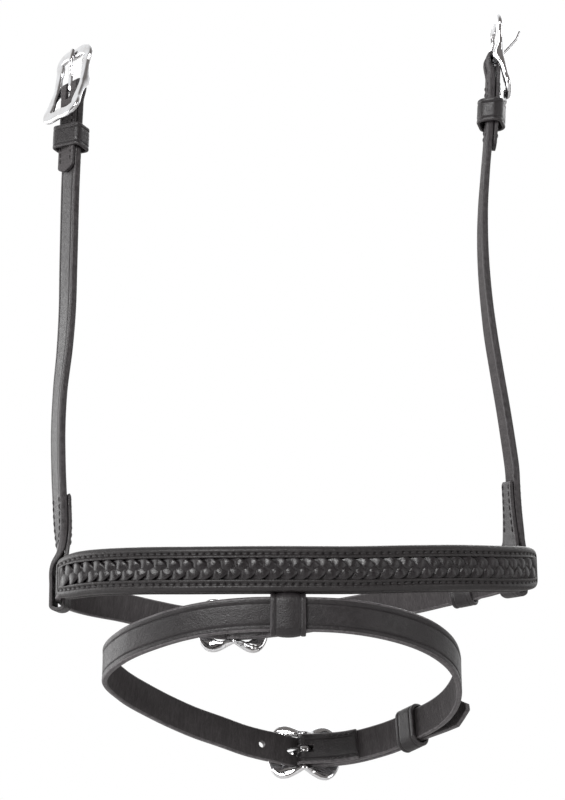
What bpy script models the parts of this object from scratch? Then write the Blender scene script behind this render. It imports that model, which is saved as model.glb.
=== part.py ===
"""Flash noseband: padded nosepiece with plaited insert, chin straps, cheek straps and flash strap.

Metres, Z up. X runs across the nose, Y from the front of the nose to the back, Z along the cheeks.
The frame origin is the middle of the noseband ring, at the height of the front of the nosepiece.
Every strap is swept along a course. A course gives, at any distance along it, a point, the direction
of travel, the direction across the strap's width and the direction out of the ring.
"""
import bpy
import math
import numpy as np
from mathutils import Matrix, Vector

GAP = 0.0003

RING_HALF_WIDTH = 0.1168
RING_HALF_DEPTH = 0.0625
RING_RISE = 0.010

NOSE_HEIGHT = 0.0216
NOSE_THICKNESS = 0.0080
NOSE_LEATHER = 0.0024
LINING_THICKNESS = 0.0016
LINING_WALL = 0.0014
NOSE_END_HEIGHT = 0.0184
NOSE_TAPER = 0.0200
NOSE_LEFT_DEG = -165.0
NOSE_RIGHT_DEG = -7.4
WINDOW_HEIGHT = 0.0100
WINDOW_INSET = 0.0080
PLAIT_PROUD = 0.0003
STRAP_TUCK = 0.0150
TUCK_CLEARANCE = 0.0008

CHIN_WIDTH = 0.0150
CHIN_THICKNESS = 0.0030
CHIN_BAR_DEG = 105.35
CHIN_KEEPER_DEG = 42.0
CHIN_TIP_DEG = 33.5

FLASH_WIDTH = 0.0160
FLASH_THICKNESS = 0.0028
FLASH_HALF_WIDTH = 0.0860
FLASH_HALF_DEPTH = 0.0665
FLASH_TILT_DEG = 25.5
FLASH_LEAN_DEG = 17.0
FLASH_BAR_DEG = 86.5
FLASH_OVERLAP = 0.0990
FLASH_TIP_SPRING = 0.0080
FLASH_KEEPER_REACH = 0.0575

LOOP_WIDTH = 0.0165
LOOP_WALL = 0.0015
LOOP_EASE = 0.0010
LOOP_EDGE_REST = 0.0022

CHEEK_WIDTH = 0.0130
CHEEK_THICKNESS = 0.0038
CHEEK_LENGTH = 0.2680
CHEEK_STANDOFF = 0.0017
CHEEK_LOOP_EASE = 0.0010
CHEEK_LOOP_ROOM = 0.0018
CHEEK_TURN_BACK = 0.0470
CHEEK_TOP_TURN_BACK = 0.0465
CHEEK_FOLD_RUN = 0.0100
LEFT_CHEEK_DEG = 176.5
RIGHT_CHEEK_DEG = 17.5

SKIVED = 0.0020
STITCHED_FOLD = 0.0290
STRAP_CHAMFER = 0.0007

SMALL_BUCKLE_LENGTH = 0.0365
SMALL_BUCKLE_WIDTH = 0.0270
SMALL_RAIL_WIDTH = 0.0042
LARGE_BUCKLE_LENGTH = 0.0440
LARGE_BUCKLE_WIDTH = 0.0290
LARGE_RAIL_WIDTH = 0.0048
RAIL_THICKNESS = 0.0028
BAR_RADIUS = 0.0015
BAR_RISE = 0.0012
CHEEK_BAR_RISE = 0.0006
RAIL_CLEARANCE = 0.0010
CHEEK_FLARE = 0.0044
LEFT_FRAME_LEAN_DEG = 13.0
RIGHT_FRAME_LEAN_DEG = 9.5

TONGUE_WIDTH = 0.0032
TONGUE_THICKNESS = 0.0015
TONGUE_OVERHANG = 0.0016
CHEEK_TONGUE_SHORT = 0.0008
SLOT_CLEARANCE = 0.0005
WAIST_CLEARANCE = 0.0005
RIGHT_TONGUE_OPEN_DEG = 30.0

KEEPER_WALL = 0.0017
KEEPER_HEIGHT = 0.0120
KEEPER_SIDE_EASE = 0.0006
KEEPER_EASE = 0.0010
CHEEK_KEEPER_HEIGHT = 0.0125
CHEEK_KEEPER_SLOT = 0.0020
CHEEK_KEEPER_SLACK = 0.0020
CHEEK_KEEPER_CLEARANCE = 0.0012

HOLE_DIAMETER = 0.0036
HOLE_PITCH = 0.0220
HOLE_COUNT = 2
PIN_HOLE_LENGTH = 0.0084

PIN_HOLE_SHARE = 0.22
WAIST_RAIL_SHARE = 0.55
CHEEK_WAIST_SHARE = 0.93
CHEEK_RAIL_SHARE = 0.90
CHEEK_BOSS_SHARE = 0.57
BOSS_SHARE = 0.45
BOSS_SPREAD_SHARE = 0.20
FRAME_OUTLINE_SHARES = ((0.20, 0.30), (0.42, 0.90), (0.62, 1.0), (0.82, 0.88), (0.96, 0.50))
RING_HEIGHT_SHARES = ((-172, 0.0), (-158, 0.14), (-146, 0.20), (-128, 0.14), (-113, 0.06), (-90, 0.02),
                      (-76, 0.04), (-63, 0.15), (-48, 0.29), (-31, 0.43), (-8, 0.72), (5, 0.82), (17, 0.80),
                      (31, 0.53), (47, 0.22), (57, -0.10), (68, -0.43), (80, -0.82), (93, -1.21),
                      (105, -1.40), (120, -1.20), (128, -1.00), (135, -0.80), (141, -0.66), (153, -0.50),
                      (165, -0.33), (176, -0.10))
FLASH_RADIUS_SHARES = ((-180, 0.985), (-165, 1.100), (-150, 1.105), (-135, 1.078), (-120, 1.060),
                       (-105, 1.028), (-90, 1.0), (-75, 1.010), (-60, 1.012), (-45, 1.003), (-30, 0.976),
                       (-15, 0.942), (0, 0.922), (15, 0.915), (30, 0.925), (45, 0.950), (60, 1.0),
                       (75, 1.045), (90, 1.015), (105, 0.930), (120, 0.855), (135, 0.830), (150, 0.836),
                       (165, 0.885))
LEFT_CHEEK_SHARES = ((0.035, 0.0, 0.0), (0.070, 0.007, 0.003), (0.147, 0.003, 0.006), (0.223, -0.002, 0.008),
                     (0.301, -0.005, 0.011), (0.379, -0.0035, 0.015), (0.458, 0.0025, 0.018),
                     (0.538, 0.0055, 0.021), (0.620, 0.005, 0.025), (0.701, 0.0045, 0.029),
                     (0.784, 0.004, 0.034), (0.880, 0.005, 0.040), (1.000, 0.007, 0.047))
RIGHT_CHEEK_SHARES = ((0.035, 0.0, 0.0), (0.080, -0.001, -0.007), (0.157, -0.004, -0.014), (0.195, -0.0055, -0.018),
                      (0.233, -0.010, -0.022), (0.309, -0.021, -0.031), (0.385, -0.0335, -0.041),
                      (0.461, -0.045, -0.050), (0.539, -0.053, -0.058), (0.616, -0.057, -0.066),
                      (0.694, -0.056, -0.072), (0.773, -0.050, -0.078), (0.850, -0.043, -0.083),
                      (0.994, -0.035, -0.088))
LEFT_TWIST_SHARES = ((0.105, -21.0), (0.16, -25.5), (0.24, -26.0), (0.37, -27.0), (0.41, -29.5),
                     (0.49, -34.0), (0.57, -37.0), (0.66, -39.0), (0.74, -40.0), (0.80, -41.0), (1.0, -43.0))
RIGHT_TWIST_SHARES = ((0.120, 14.2), (0.22, 12.2), (0.38, 10.4), (0.455, 10.2), (0.50, 8.3),
                      (0.575, 6.4), (0.655, 4.3), (0.70, 2.4), (0.78, 0.5), (0.86, 1.2), (1.0, 3.5))
CHEEK_OUTLINE_SHARES = ((0.30, 0.10), (0.60, 0.92), (0.82, 0.97), (0.95, 0.80), (1.0, 0.48))
CHEEK_DIP_SHARE = 0.965
CHEEK_LUG_SHARE = 1.0
SMALL_LUG_SHARE = 0.0
TWIST_START_SHARE = 0.035
LOOP_FLATNESS_SHARE = 0.58
PIN_SHARES = ((0.14, 0.16), (0.42, 0.82), (0.64, 1.0), (1.0, 1.0))
OPEN_PIN_SHARES = ((0.25, 0.18), (0.55, 0.62), (0.80, 0.97), (1.0, 1.0))

SMALL_SIZE = (SMALL_BUCKLE_LENGTH, SMALL_BUCKLE_WIDTH, SMALL_RAIL_WIDTH)
LARGE_SIZE = (LARGE_BUCKLE_LENGTH, LARGE_BUCKLE_WIDTH, LARGE_RAIL_WIDTH)
CHEEK_FORM = (CHEEK_OUTLINE_SHARES, CHEEK_WAIST_SHARE, CHEEK_RAIL_SHARE, CHEEK_BOSS_SHARE, CHEEK_DIP_SHARE,
              CHEEK_LUG_SHARE)

X_AXIS = Vector((1.0, 0.0, 0.0))
Z_AXIS = Vector((0.0, 0.0, 1.0))


def clear_scene():
    for thing in list(bpy.data.objects):
        bpy.data.objects.remove(thing, do_unlink=True)


def make_material(name, colour, roughness, metallic):
    material = bpy.data.materials.new(name)
    material.use_nodes = True
    shader = material.node_tree.nodes["Principled BSDF"]
    shader.inputs["Base Color"].default_value = (colour[0], colour[1], colour[2], 1.0)
    shader.inputs["Roughness"].default_value = roughness
    shader.inputs["Metallic"].default_value = metallic
    return material


class Course:
    """A curve in space, read by the distance along it."""

    def __init__(self, points, widths, start):
        self.points = np.array([list(point) for point in points])
        self.widths = np.array([list(width) for width in widths])
        steps = np.linalg.norm(np.diff(self.points, axis=0), axis=1)
        self.along = np.concatenate(([0.0], np.cumsum(steps))) + start
        self.outward = 1.0

    def point(self, distance):
        inside = min(max(distance, self.along[0]), self.along[-1])
        found = Vector([float(np.interp(inside, self.along, self.points[:, k])) for k in range(3)])
        if distance == inside:
            return found
        return found + self.travel(inside) * (distance - inside)

    def travel(self, distance):
        reach = (self.along[-1] - self.along[0]) / (2 * len(self.along))
        inside = min(max(distance, self.along[0]), self.along[-1])
        before = max(inside - reach, self.along[0])
        after = min(inside + reach, self.along[-1])
        first = [float(np.interp(before, self.along, self.points[:, k])) for k in range(3)]
        second = [float(np.interp(after, self.along, self.points[:, k])) for k in range(3)]
        return (Vector(second) - Vector(first)).normalized()

    def axes(self, distance):
        along = self.travel(distance)
        across = Vector([float(np.interp(distance, self.along, self.widths[:, k])) for k in range(3)])
        out = along.cross(across).normalized() * self.outward
        across = out.cross(along).normalized() * self.outward
        return along, across, out

    def place(self, distance, rise):
        along, across, out = self.axes(distance)
        return self.point(distance) + out * rise, across


def smooth_value(knots, place):
    """The value at a place on a smooth line through the knots, which are pairs of place and value."""
    last = len(knots) - 1
    index = 0
    while index < last - 1 and knots[index + 1][0] < place:
        index += 1
    low, high = knots[index], knots[index + 1]
    before, after = knots[max(index - 1, 0)], knots[min(index + 2, last)]
    span = high[0] - low[0]
    t = min(max((place - low[0]) / span, 0.0), 1.0)
    leaving = (high[1] - before[1]) / (high[0] - before[0]) * span
    arriving = (after[1] - low[1]) / (after[0] - low[0]) * span
    square = t * t
    cube = square * t
    return ((2 * cube - 3 * square + 1) * low[1] + (cube - 2 * square + t) * leaving
            + (3 * square - 2 * cube) * high[1] + (cube - square) * arriving)


def round_value(knots, degrees):
    """The same on a closed line, whose places are degrees round the ring."""
    before = [(place - 360.0, value) for place, value in knots[-2:]]
    after = [(place + 360.0, value) for place, value in knots[:2]]
    return smooth_value(before + list(knots) + after, (degrees + 180.0) % 360.0 - 180.0)


def ring_point(degrees):
    angle = math.radians(degrees)
    height = RING_RISE * round_value(RING_HEIGHT_SHARES, degrees)
    return Vector((RING_HALF_WIDTH * math.cos(angle), RING_HALF_DEPTH * math.sin(angle), height))


def ring_course():
    """The noseband ring, seen from above anticlockwise; distance zero is the front of the nose."""
    degrees = list(np.arange(-336.0, 126.1, 1.5))
    points = [ring_point(value) for value in degrees]
    course = Course(points, [Z_AXIS] * len(points), 0.0)
    front = float(np.interp(-90.0, degrees, course.along))
    course.along = course.along - front
    course.degrees = degrees
    return course


def ring_distance(course, degrees):
    return float(np.interp(degrees, course.degrees, course.along))


def flash_half_stack():
    """From the middle of the flash strap up to the top of its loop."""
    inner = FLASH_THICKNESS / 2 + LOOP_EASE
    return inner + LOOP_WALL


def flash_drop():
    """Height of the middle of the flash strap at the front of the nose."""
    return -(NOSE_HEIGHT / 2 + GAP + LOOP_EDGE_REST + FLASH_WIDTH / 2)


def flash_course():
    """The flash ring, starting at its buckle bar and going right, front, left and back again."""
    tilt = math.radians(FLASH_TILT_DEG)
    back = Vector((0.0, math.cos(tilt), -math.sin(tilt)))
    lean = math.radians(FLASH_LEAN_DEG)
    upright = Vector((0.0, math.sin(lean), math.cos(lean)))
    front = Vector((0.0, -RING_HALF_DEPTH, flash_drop()))
    middle = front + back * FLASH_HALF_DEPTH
    points = []
    widths = []
    degrees = list(np.arange(FLASH_BAR_DEG + 12.0, FLASH_BAR_DEG - 480.0, -1.5))
    for value in degrees:
        angle = math.radians(value)
        radius = round_value(FLASH_RADIUS_SHARES, value)
        sideways = FLASH_HALF_WIDTH * radius * math.cos(angle)
        backward = FLASH_HALF_DEPTH * radius * math.sin(angle)
        points.append(middle + X_AXIS * sideways + back * backward)
        share = (1 + math.sin(angle)) / 2
        share = share * share * (3 - 2 * share)
        widths.append((Z_AXIS * (1 - share) + upright * share).normalized())
    course = Course(points, widths, 0.0)
    course.outward = -1.0
    bar = float(np.interp(-FLASH_BAR_DEG, [-value for value in degrees], course.along))
    course.along = course.along - bar
    turn = float(np.interp(360.0 - FLASH_BAR_DEG, [-value for value in degrees], course.along))
    crossing = float(np.interp(90.0, [-value for value in degrees], course.along))
    return course, turn, crossing


def smooth_curve(knots, count, closed):
    """Points on a curve through the knots, count to each span."""
    found = []
    total = len(knots)
    spans = total if closed else total - 1
    for span in range(spans):
        if closed:
            a, b, c, d = [Vector(knots[(span + k) % total]) for k in (-1, 0, 1, 2)]
        else:
            b = Vector(knots[span])
            c = Vector(knots[span + 1])
            a = Vector(knots[span - 1]) if span > 0 else b * 2 - c
            d = Vector(knots[span + 2]) if span + 2 < total else c * 2 - b
        for step in range(count):
            t = step / count
            value = b * 2 + (c - a) * t + (a * 2 - b * 5 + c * 4 - d) * (t * t)
            value = value + (b * 3 - a - c * 3 + d) * (t * t * t)
            found.append(value / 2)
    if not closed:
        found.append(Vector(knots[-1]))
    return found


def cheek_course(side, foot, foot_out, shares, twist):
    """A cheek strap's middle layer, from the noseband up; side is -1 for left and 1 for right."""
    start = foot + foot_out * CHEEK_STANDOFF
    knots = [start]
    for height, sideways, backward in shares:
        offset = Vector((sideways, backward, height)) * CHEEK_LENGTH
        knots.append(start + offset)
    points = smooth_curve(knots, 8, False)
    foot_angle = math.atan2(foot_out.y, foot_out.x * side)
    held = math.degrees(foot_angle)
    turns = [(0.0, held), (TWIST_START_SHARE, held)] + list(twist)
    widths = []
    for point in points:
        angle = math.radians(smooth_value(turns, (point.z - start.z) / CHEEK_LENGTH))
        out = Vector((math.cos(angle) * side, math.sin(angle), 0.0))
        widths.append(Vector((out.y, -out.x, 0.0)) * side)
    course = Course(points, widths, 0.0)
    course.outward = side
    return course


def ease(first, second, count):
    """Points from one to the other that leave and arrive level."""
    found = []
    for step in range(count + 1):
        t = step / count
        share = t * t * (3 - 2 * t)
        found.append((first[0] + (second[0] - first[0]) * t, first[1] + (second[1] - first[1]) * share))
    return found


def straight(first, second, count):
    found = []
    for step in range(count + 1):
        t = step / count
        found.append((first[0] + (second[0] - first[0]) * t, first[1] + (second[1] - first[1]) * t))
    return found


def half_turn(middle, radius, toward, first_side):
    """A half circle round a bar, leaving toward the given way along the course."""
    found = []
    for step in range(1, 8):
        angle = math.pi * step / 8
        along = middle[0] + toward * radius * math.sin(angle)
        found.append((along, middle[1] + first_side * radius * math.cos(angle)))
    return found


def chain(*parts):
    found = []
    for part in parts:
        for item in part:
            if found and (Vector(found[-1][:2]) - Vector(item[:2])).length < GAP / 10:
                continue
            found.append(item)
    return found


def band_profile(width, thickness, chamfer):
    w = width / 2
    n = thickness / 2
    return [(-w, -n + chamfer), (-w + chamfer, -n), (w - chamfer, -n), (w, -n + chamfer),
            (w, n - chamfer), (w - chamfer, n), (-w + chamfer, n), (-w, n - chamfer)]


def round_profile(width, thickness):
    found = []
    for step in range(8):
        angle = math.radians(22.5 + 45.0 * step)
        found.append((math.cos(angle) * width / 2, math.sin(angle) * thickness / 2))
    return found


def finish_object(name, vertices, faces, material, pivot):
    shifted = [Vector(vertex) - pivot for vertex in vertices]
    mesh = bpy.data.meshes.new(name)
    mesh.from_pydata([tuple(vertex) for vertex in shifted], [], faces)
    mesh.validate()
    thing = bpy.data.objects.new(name, mesh)
    bpy.context.scene.collection.objects.link(thing)
    thing.location = pivot
    thing.data.materials.append(material)
    bpy.context.view_layer.objects.active = thing
    turn_faces_out(thing)
    thing.data.shade_smooth()
    thing.data.set_sharp_from_angle(angle=math.radians(35.0))
    return thing


def turn_faces_out(thing):
    """Flip every face when the closed body is inside out."""
    mesh = thing.data
    volume = 0.0
    mesh.calc_loop_triangles()
    for triangle in mesh.loop_triangles:
        a, b, c = [mesh.vertices[index].co for index in triangle.vertices]
        volume += a.dot(b.cross(c))
    if volume < 0.0:
        mesh.flip_normals()


def sweep(name, points, widths, profile, scales, closed, material, pivot):
    """Carry a profile along points; scales narrows it per station as a pair of shares."""
    total = len(points)
    size = len(profile)
    vertices = []
    for index in range(total):
        if closed:
            along = points[(index + 1) % total] - points[index - 1]
        else:
            along = points[min(index + 1, total - 1)] - points[max(index - 1, 0)]
        along.normalize()
        out = along.cross(widths[index]).normalized()
        across = out.cross(along).normalized()
        wide, thick = scales[index]
        for w, n in profile:
            vertices.append(points[index] + across * (w * wide) + out * (n * thick))
    faces = []
    spans = total if closed else total - 1
    for index in range(spans):
        base = index * size
        after = ((index + 1) % total) * size
        for k in range(size):
            m = (k + 1) % size
            faces.append((base + k, base + m, after + m, after + k))
    if not closed:
        faces.append(tuple(reversed(range(size))))
        faces.append(tuple(range((total - 1) * size, total * size)))
    return finish_object(name, vertices, faces, material, pivot)


def layer(name, course, stations, width, thickness, chamfer, material, pivot):
    """A strap laid on a course; a station is distance, rise and optional width and thickness shares."""
    points = []
    widths = []
    scales = []
    for station in stations:
        point, across = course.place(station[0], station[1])
        points.append(point)
        widths.append(across)
        wide = station[2] if len(station) > 2 else 1.0
        thick = station[3] if len(station) > 3 else 1.0
        scales.append((wide, thick))
    return sweep(name, points, widths, band_profile(width, thickness, chamfer), scales, False,
                 material, pivot)


def cut(target, cutter, name, operation):
    cutter.hide_render = True
    cutter.display_type = 'WIRE'
    modifier = target.modifiers.new(name, 'BOOLEAN')
    modifier.operation = operation
    modifier.solver = 'EXACT'
    modifier.object = cutter


def axes_matrix(origin, u_axis, w_axis, n_axis):
    matrix = Matrix((u_axis, w_axis, n_axis)).transposed().to_4x4()
    matrix.translation = origin
    return matrix


def oval_cutter(name, places, length, width, depth, material):
    """One cutter with an oval post at every place."""
    vertices = []
    faces = []
    for place in places:
        base = len(vertices)
        for side in (-1.0, 1.0):
            for step in range(8):
                angle = math.tau * (step + 0.5) / 8
                corner = math.cos(math.tau / 16)
                u = math.cos(angle) * length / 2 / corner
                w = math.sin(angle) * width / 2 / corner
                local = Vector((u, w, side * depth / 2))
                vertices.append(place @ local)
        faces.append(tuple(base + k for k in reversed(range(8))))
        faces.append(tuple(base + 8 + k for k in range(8)))
        for k in range(8):
            m = (k + 1) % 8
            faces.append((base + k, base + m, base + 8 + m, base + 8 + k))
    return finish_object(name, vertices, faces, material, Vector((0.0, 0.0, 0.0)))


def box_cutter(name, place, low, high, material):
    vertices = []
    for n in (low[2], high[2]):
        for u, w in ((low[0], low[1]), (high[0], low[1]), (high[0], high[1]), (low[0], high[1])):
            vertices.append(place @ Vector((u, w, n)))
    faces = [(3, 2, 1, 0), (4, 5, 6, 7), (0, 1, 5, 4), (1, 2, 6, 5), (2, 3, 7, 6), (3, 0, 4, 7)]
    return finish_object(name, vertices, faces, material, Vector((0.0, 0.0, 0.0)))


def buckle_frame(name, place, size, form, flare, material):
    """Frame with its ends raised off its centre bar; place has the bar as origin."""
    length, width, rail = size
    shares, waist, slim, lug, dip, solid = form
    half_length = (length - rail) / 2
    half_width = (width - rail) / 2
    quarter = [(0.0, waist)]
    for u, w in shares:
        share = waist + (1 - waist) * w if u < 0.5 else w
        quarter.append((u, share))
    outline = [(u, w) for u, w in quarter] + [(dip, 0.0)]
    outline += [(u, -w) for u, w in reversed(quarter)]
    outline += [(-u, -w) for u, w in quarter[1:]] + [(-dip, 0.0)]
    outline += [(-u, w) for u, w in reversed(quarter[1:])]
    knots = [Vector((u * half_length, w * half_width, 0.0)) for u, w in outline]
    flat = smooth_curve(knots, 2, True)
    points = []
    scales = []
    for point in flat:
        share = abs(point.x) / half_length
        boss = 1 - math.exp(-(share / BOSS_SPREAD_SHARE) ** 2)
        drop = flare * lug * (1 - boss)
        scales.append((slim + (1 - slim) * boss, 1.0 + solid * drop / RAIL_THICKNESS))
        rise = flare * ((1 - lug) * share ** 1.4 + lug) - drop * (1 - solid / 2)
        points.append(Vector((point.x, point.y, rise)))
    widths = []
    for index in range(len(points)):
        along = points[(index + 1) % len(points)] - points[index - 1]
        widths.append(Vector((along.y, -along.x, 0.0)).normalized())
    turn = place.to_3x3()
    frame = sweep(name, [place @ point for point in points], [turn @ width_way for width_way in widths],
                  round_profile(rail, RAIL_THICKNESS), scales, True, material, place.translation)
    reach = half_width * waist
    bar_points = [place @ Vector((0.0, reach * side, 0.0)) for side in (-1.0, 0.0, 1.0)]
    bar_ways = [turn @ Vector((1.0, 0.0, 0.0))] * 3
    bar = sweep(name + "_bar_form", bar_points, bar_ways, round_profile(BAR_RADIUS * 2, BAR_RADIUS * 2),
                [(1.0, 1.0)] * 3, False, material, place.translation)
    cut(frame, bar, "bar", 'UNION')
    return frame


def tongue(name, place, size, flare, overhang, shares, material):
    """A tongue wrapped round the bar and laid over the far end of the frame."""
    length, width, rail = size
    half_length = (length - rail) / 2
    eye = BAR_RADIUS + GAP + TONGUE_THICKNESS / 2
    rise = flare + RAIL_THICKNESS / 2 + GAP + TONGUE_THICKNESS / 2 - eye
    stations = []
    for step in range(8):
        angle = math.radians(-165.0 + 32.0 * step)
        stations.append(Vector((eye * math.cos(angle), 0.0, eye * math.sin(angle))))
    knots = [Vector((0.0, 0.0, eye))]
    for u, n in shares:
        knots.append(Vector((-u * half_length, 0.0, eye + n * rise)))
    knots.append(Vector((-(half_length + rail / 2 + overhang), 0.0, eye + rise)))
    stations += smooth_curve(knots, 2, False)
    scales = [(1.0, 1.0)] * (len(stations) - 2) + [(0.85, 0.9), (0.6, 0.6)]
    turn = place.to_3x3()
    ways = [turn @ Vector((0.0, 1.0, 0.0))] * len(stations)
    return sweep(name, [place @ station for station in stations], ways,
                 round_profile(TONGUE_WIDTH, TONGUE_THICKNESS), scales, False, material,
                 place.translation)


def keeper(name, place, half_width, low, high, height, material):
    """A closed leather loop; place has N out of the ring, low and high are its inner faces along N."""
    w = half_width + KEEPER_WALL / 2
    n_low = low - KEEPER_WALL / 2
    n_high = high + KEEPER_WALL / 2
    corner = KEEPER_WALL
    knots = []
    for cw, cn, start in ((w, n_high, 0.0), (-w, n_high, 90.0), (-w, n_low, 180.0), (w, n_low, 270.0)):
        centre = (cw - math.copysign(corner, cw), cn - corner if cn == n_high else cn + corner)
        for step in range(4):
            angle = math.radians(start + 30.0 * step)
            knots.append(Vector((0.0, centre[0] + corner * math.cos(angle),
                                 centre[1] + corner * math.sin(angle))))
    turn = place.to_3x3()
    ways = [turn @ Vector((1.0, 0.0, 0.0))] * len(knots)
    profile = band_profile(height, KEEPER_WALL, STRAP_CHAMFER / 2)
    return sweep(name, [place @ knot for knot in knots], ways, profile, [(1.0, 1.0)] * len(knots), True,
                 material, place.translation)


def nose_layers():
    """Rises of the nosepiece's layers from its middle: front's inner face and lining's inner face."""
    front_inner = NOSE_THICKNESS / 2 - NOSE_LEATHER
    lining_inner = -NOSE_THICKNESS / 2 + LINING_THICKNESS
    return front_inner, lining_inner


def nose_share(distance, left, right):
    """Share of the nosepiece's full height, which narrows to its ends."""
    inside = min(max(min(distance - left, right - distance) / NOSE_TAPER, 0.0), 1.0)
    eased = 1 - (1 - inside) ** 2
    return (NOSE_END_HEIGHT + (NOSE_HEIGHT - NOSE_END_HEIGHT) * eased) / NOSE_HEIGHT


def along_ring(name, ring, first, last, ends, profile, material):
    """A profile carried along the ring, narrowing to the nosepiece's ends where they are given."""
    points = []
    widths = []
    scales = []
    places = [first + (last - first) * step / 34 for step in range(1, 34)]
    places += [first, last, first + NOSE_TAPER / 6, last - NOSE_TAPER / 6]
    for distance in sorted(places):
        point, across = ring.place(distance, 0.0)
        points.append(point)
        widths.append(across)
        scales.append((nose_share(distance, ends[0], ends[1]) if ends else 1.0, 1.0))
    return sweep(name, points, widths, profile, scales, False, material, Vector((0.0, 0.0, 0.0)))


def build_nosepiece(ring, leather, lace, foam, lining):
    left = ring_distance(ring, NOSE_LEFT_DEG)
    right = ring_distance(ring, NOSE_RIGHT_DEG)
    half = NOSE_HEIGHT / 2
    outer = NOSE_THICKNESS / 2
    front_inner, lining_inner = nose_layers()
    roll = NOSE_LEATHER / 2
    ends = (left, right)
    front = along_ring("nosepiece_front", ring, left, right, ends,
                       [(-half, front_inner), (half, front_inner), (half, outer - roll),
                        (half - roll, outer), (-half + roll, outer), (-half, outer - roll)], leather)
    window = WINDOW_HEIGHT / 2
    hole = along_ring("window_form", ring, left + WINDOW_INSET, right - WINDOW_INSET, None,
                      [(-window, front_inner - GAP * 5), (window, front_inner - GAP * 5),
                       (window, outer + GAP * 5), (-window, outer + GAP * 5)], leather)
    cut(front, hole, "window", 'DIFFERENCE')
    inset = window - GAP
    crown = window / 2
    along_ring("plaited_insert", ring, left + WINDOW_INSET + GAP, right - WINDOW_INSET - GAP, None,
               [(-inset, front_inner), (inset, front_inner), (inset, outer - roll),
                (crown, outer + PLAIT_PROUD), (-crown, outer + PLAIT_PROUD), (-inset, outer - roll)], lace)
    wall = half - LINING_WALL
    top = front_inner - GAP
    base = -outer
    along_ring("nosepiece_lining", ring, left, right, ends,
               [(-half, top), (-half, base + LINING_THICKNESS), (-wall, base), (wall, base),
                (half, base + LINING_THICKNESS), (half, top), (wall, top), (wall, lining_inner),
                (-wall, lining_inner), (-wall, top)], lining)
    core = wall - GAP
    along_ring("nosepiece_padding", ring, left + STRAP_TUCK + TUCK_CLEARANCE,
               right - STRAP_TUCK - TUCK_CLEARANCE, ends,
               [(-core, lining_inner + GAP), (core, lining_inner + GAP), (core, top), (-core, top)], foam)
    return left, right


def small_waist(strap_width):
    """Share of the frame's half width at which its waist clears the strap."""
    half_width = (SMALL_BUCKLE_WIDTH - SMALL_RAIL_WIDTH) / 2
    return (strap_width / 2 + WAIST_CLEARANCE + SMALL_RAIL_WIDTH * WAIST_RAIL_SHARE / 2) / half_width


def small_form(strap_width):
    """Outline, waist, rail narrowing, rise at the bar, end dip and lug of a small frame."""
    return FRAME_OUTLINE_SHARES, small_waist(strap_width), WAIST_RAIL_SHARE, BOSS_SHARE, 1.0, SMALL_LUG_SHARE


def small_flare(own, billet):
    """Rise of the frame's ends above the bar, so that the billet passes under them."""
    stack = own / 2 + GAP + billet
    return stack + RAIL_CLEARANCE + RAIL_THICKNESS / 2 - BAR_RISE


def fold_stations(sign, bar_at, level, own, turn_back, bar_rise):
    """The buckle end of a strap: in along the outside, round the bar, back along the inside."""
    reach = BAR_RADIUS + GAP + SKIVED / 2
    thin = SKIVED / own
    middle = (bar_at, level + bar_rise)
    inner = level - own / 2 - GAP - SKIVED / 2
    run = SMALL_BUCKLE_LENGTH / 2
    coming = [(s, n, 1.0, 1.0 + (thin - 1.0) * index / 6) for index, (s, n)
              in enumerate(ease((bar_at + sign * run, level), (bar_at, middle[1] + reach), 6))]
    round_bar = [(s, n, 1.0, thin) for s, n in half_turn(middle, reach, -sign, 1.0)]
    going = [(s, n, 1.0, thin) for s, n
             in ease((bar_at, middle[1] - reach), (bar_at + sign * run * 0.6, inner), 3)]
    last = [(s, n, 1.0, thin) for s, n
            in straight((bar_at + sign * run * 0.6, inner), (bar_at + sign * turn_back, inner), 3)]
    return chain(coming, round_bar, going, last)


def billet_rise(own, billet):
    """Rises of a billet: lying on its own strap, and riding over the fold at the bar."""
    lying = own / 2 + GAP + billet / 2
    riding = BAR_RISE + BAR_RADIUS + GAP + SKIVED + GAP + billet / 2
    return lying, riding


def place_on(course, distance, rise, toward):
    along, across, out = course.axes(distance)
    u_axis = along * toward
    w_axis = out.cross(u_axis)
    return axes_matrix(course.point(distance) + out * rise, u_axis, w_axis, out)


def hole_places(course, distances, rises):
    return [place_on(course, distance, rise, 1.0) for distance, rise in zip(distances, rises)]


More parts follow.
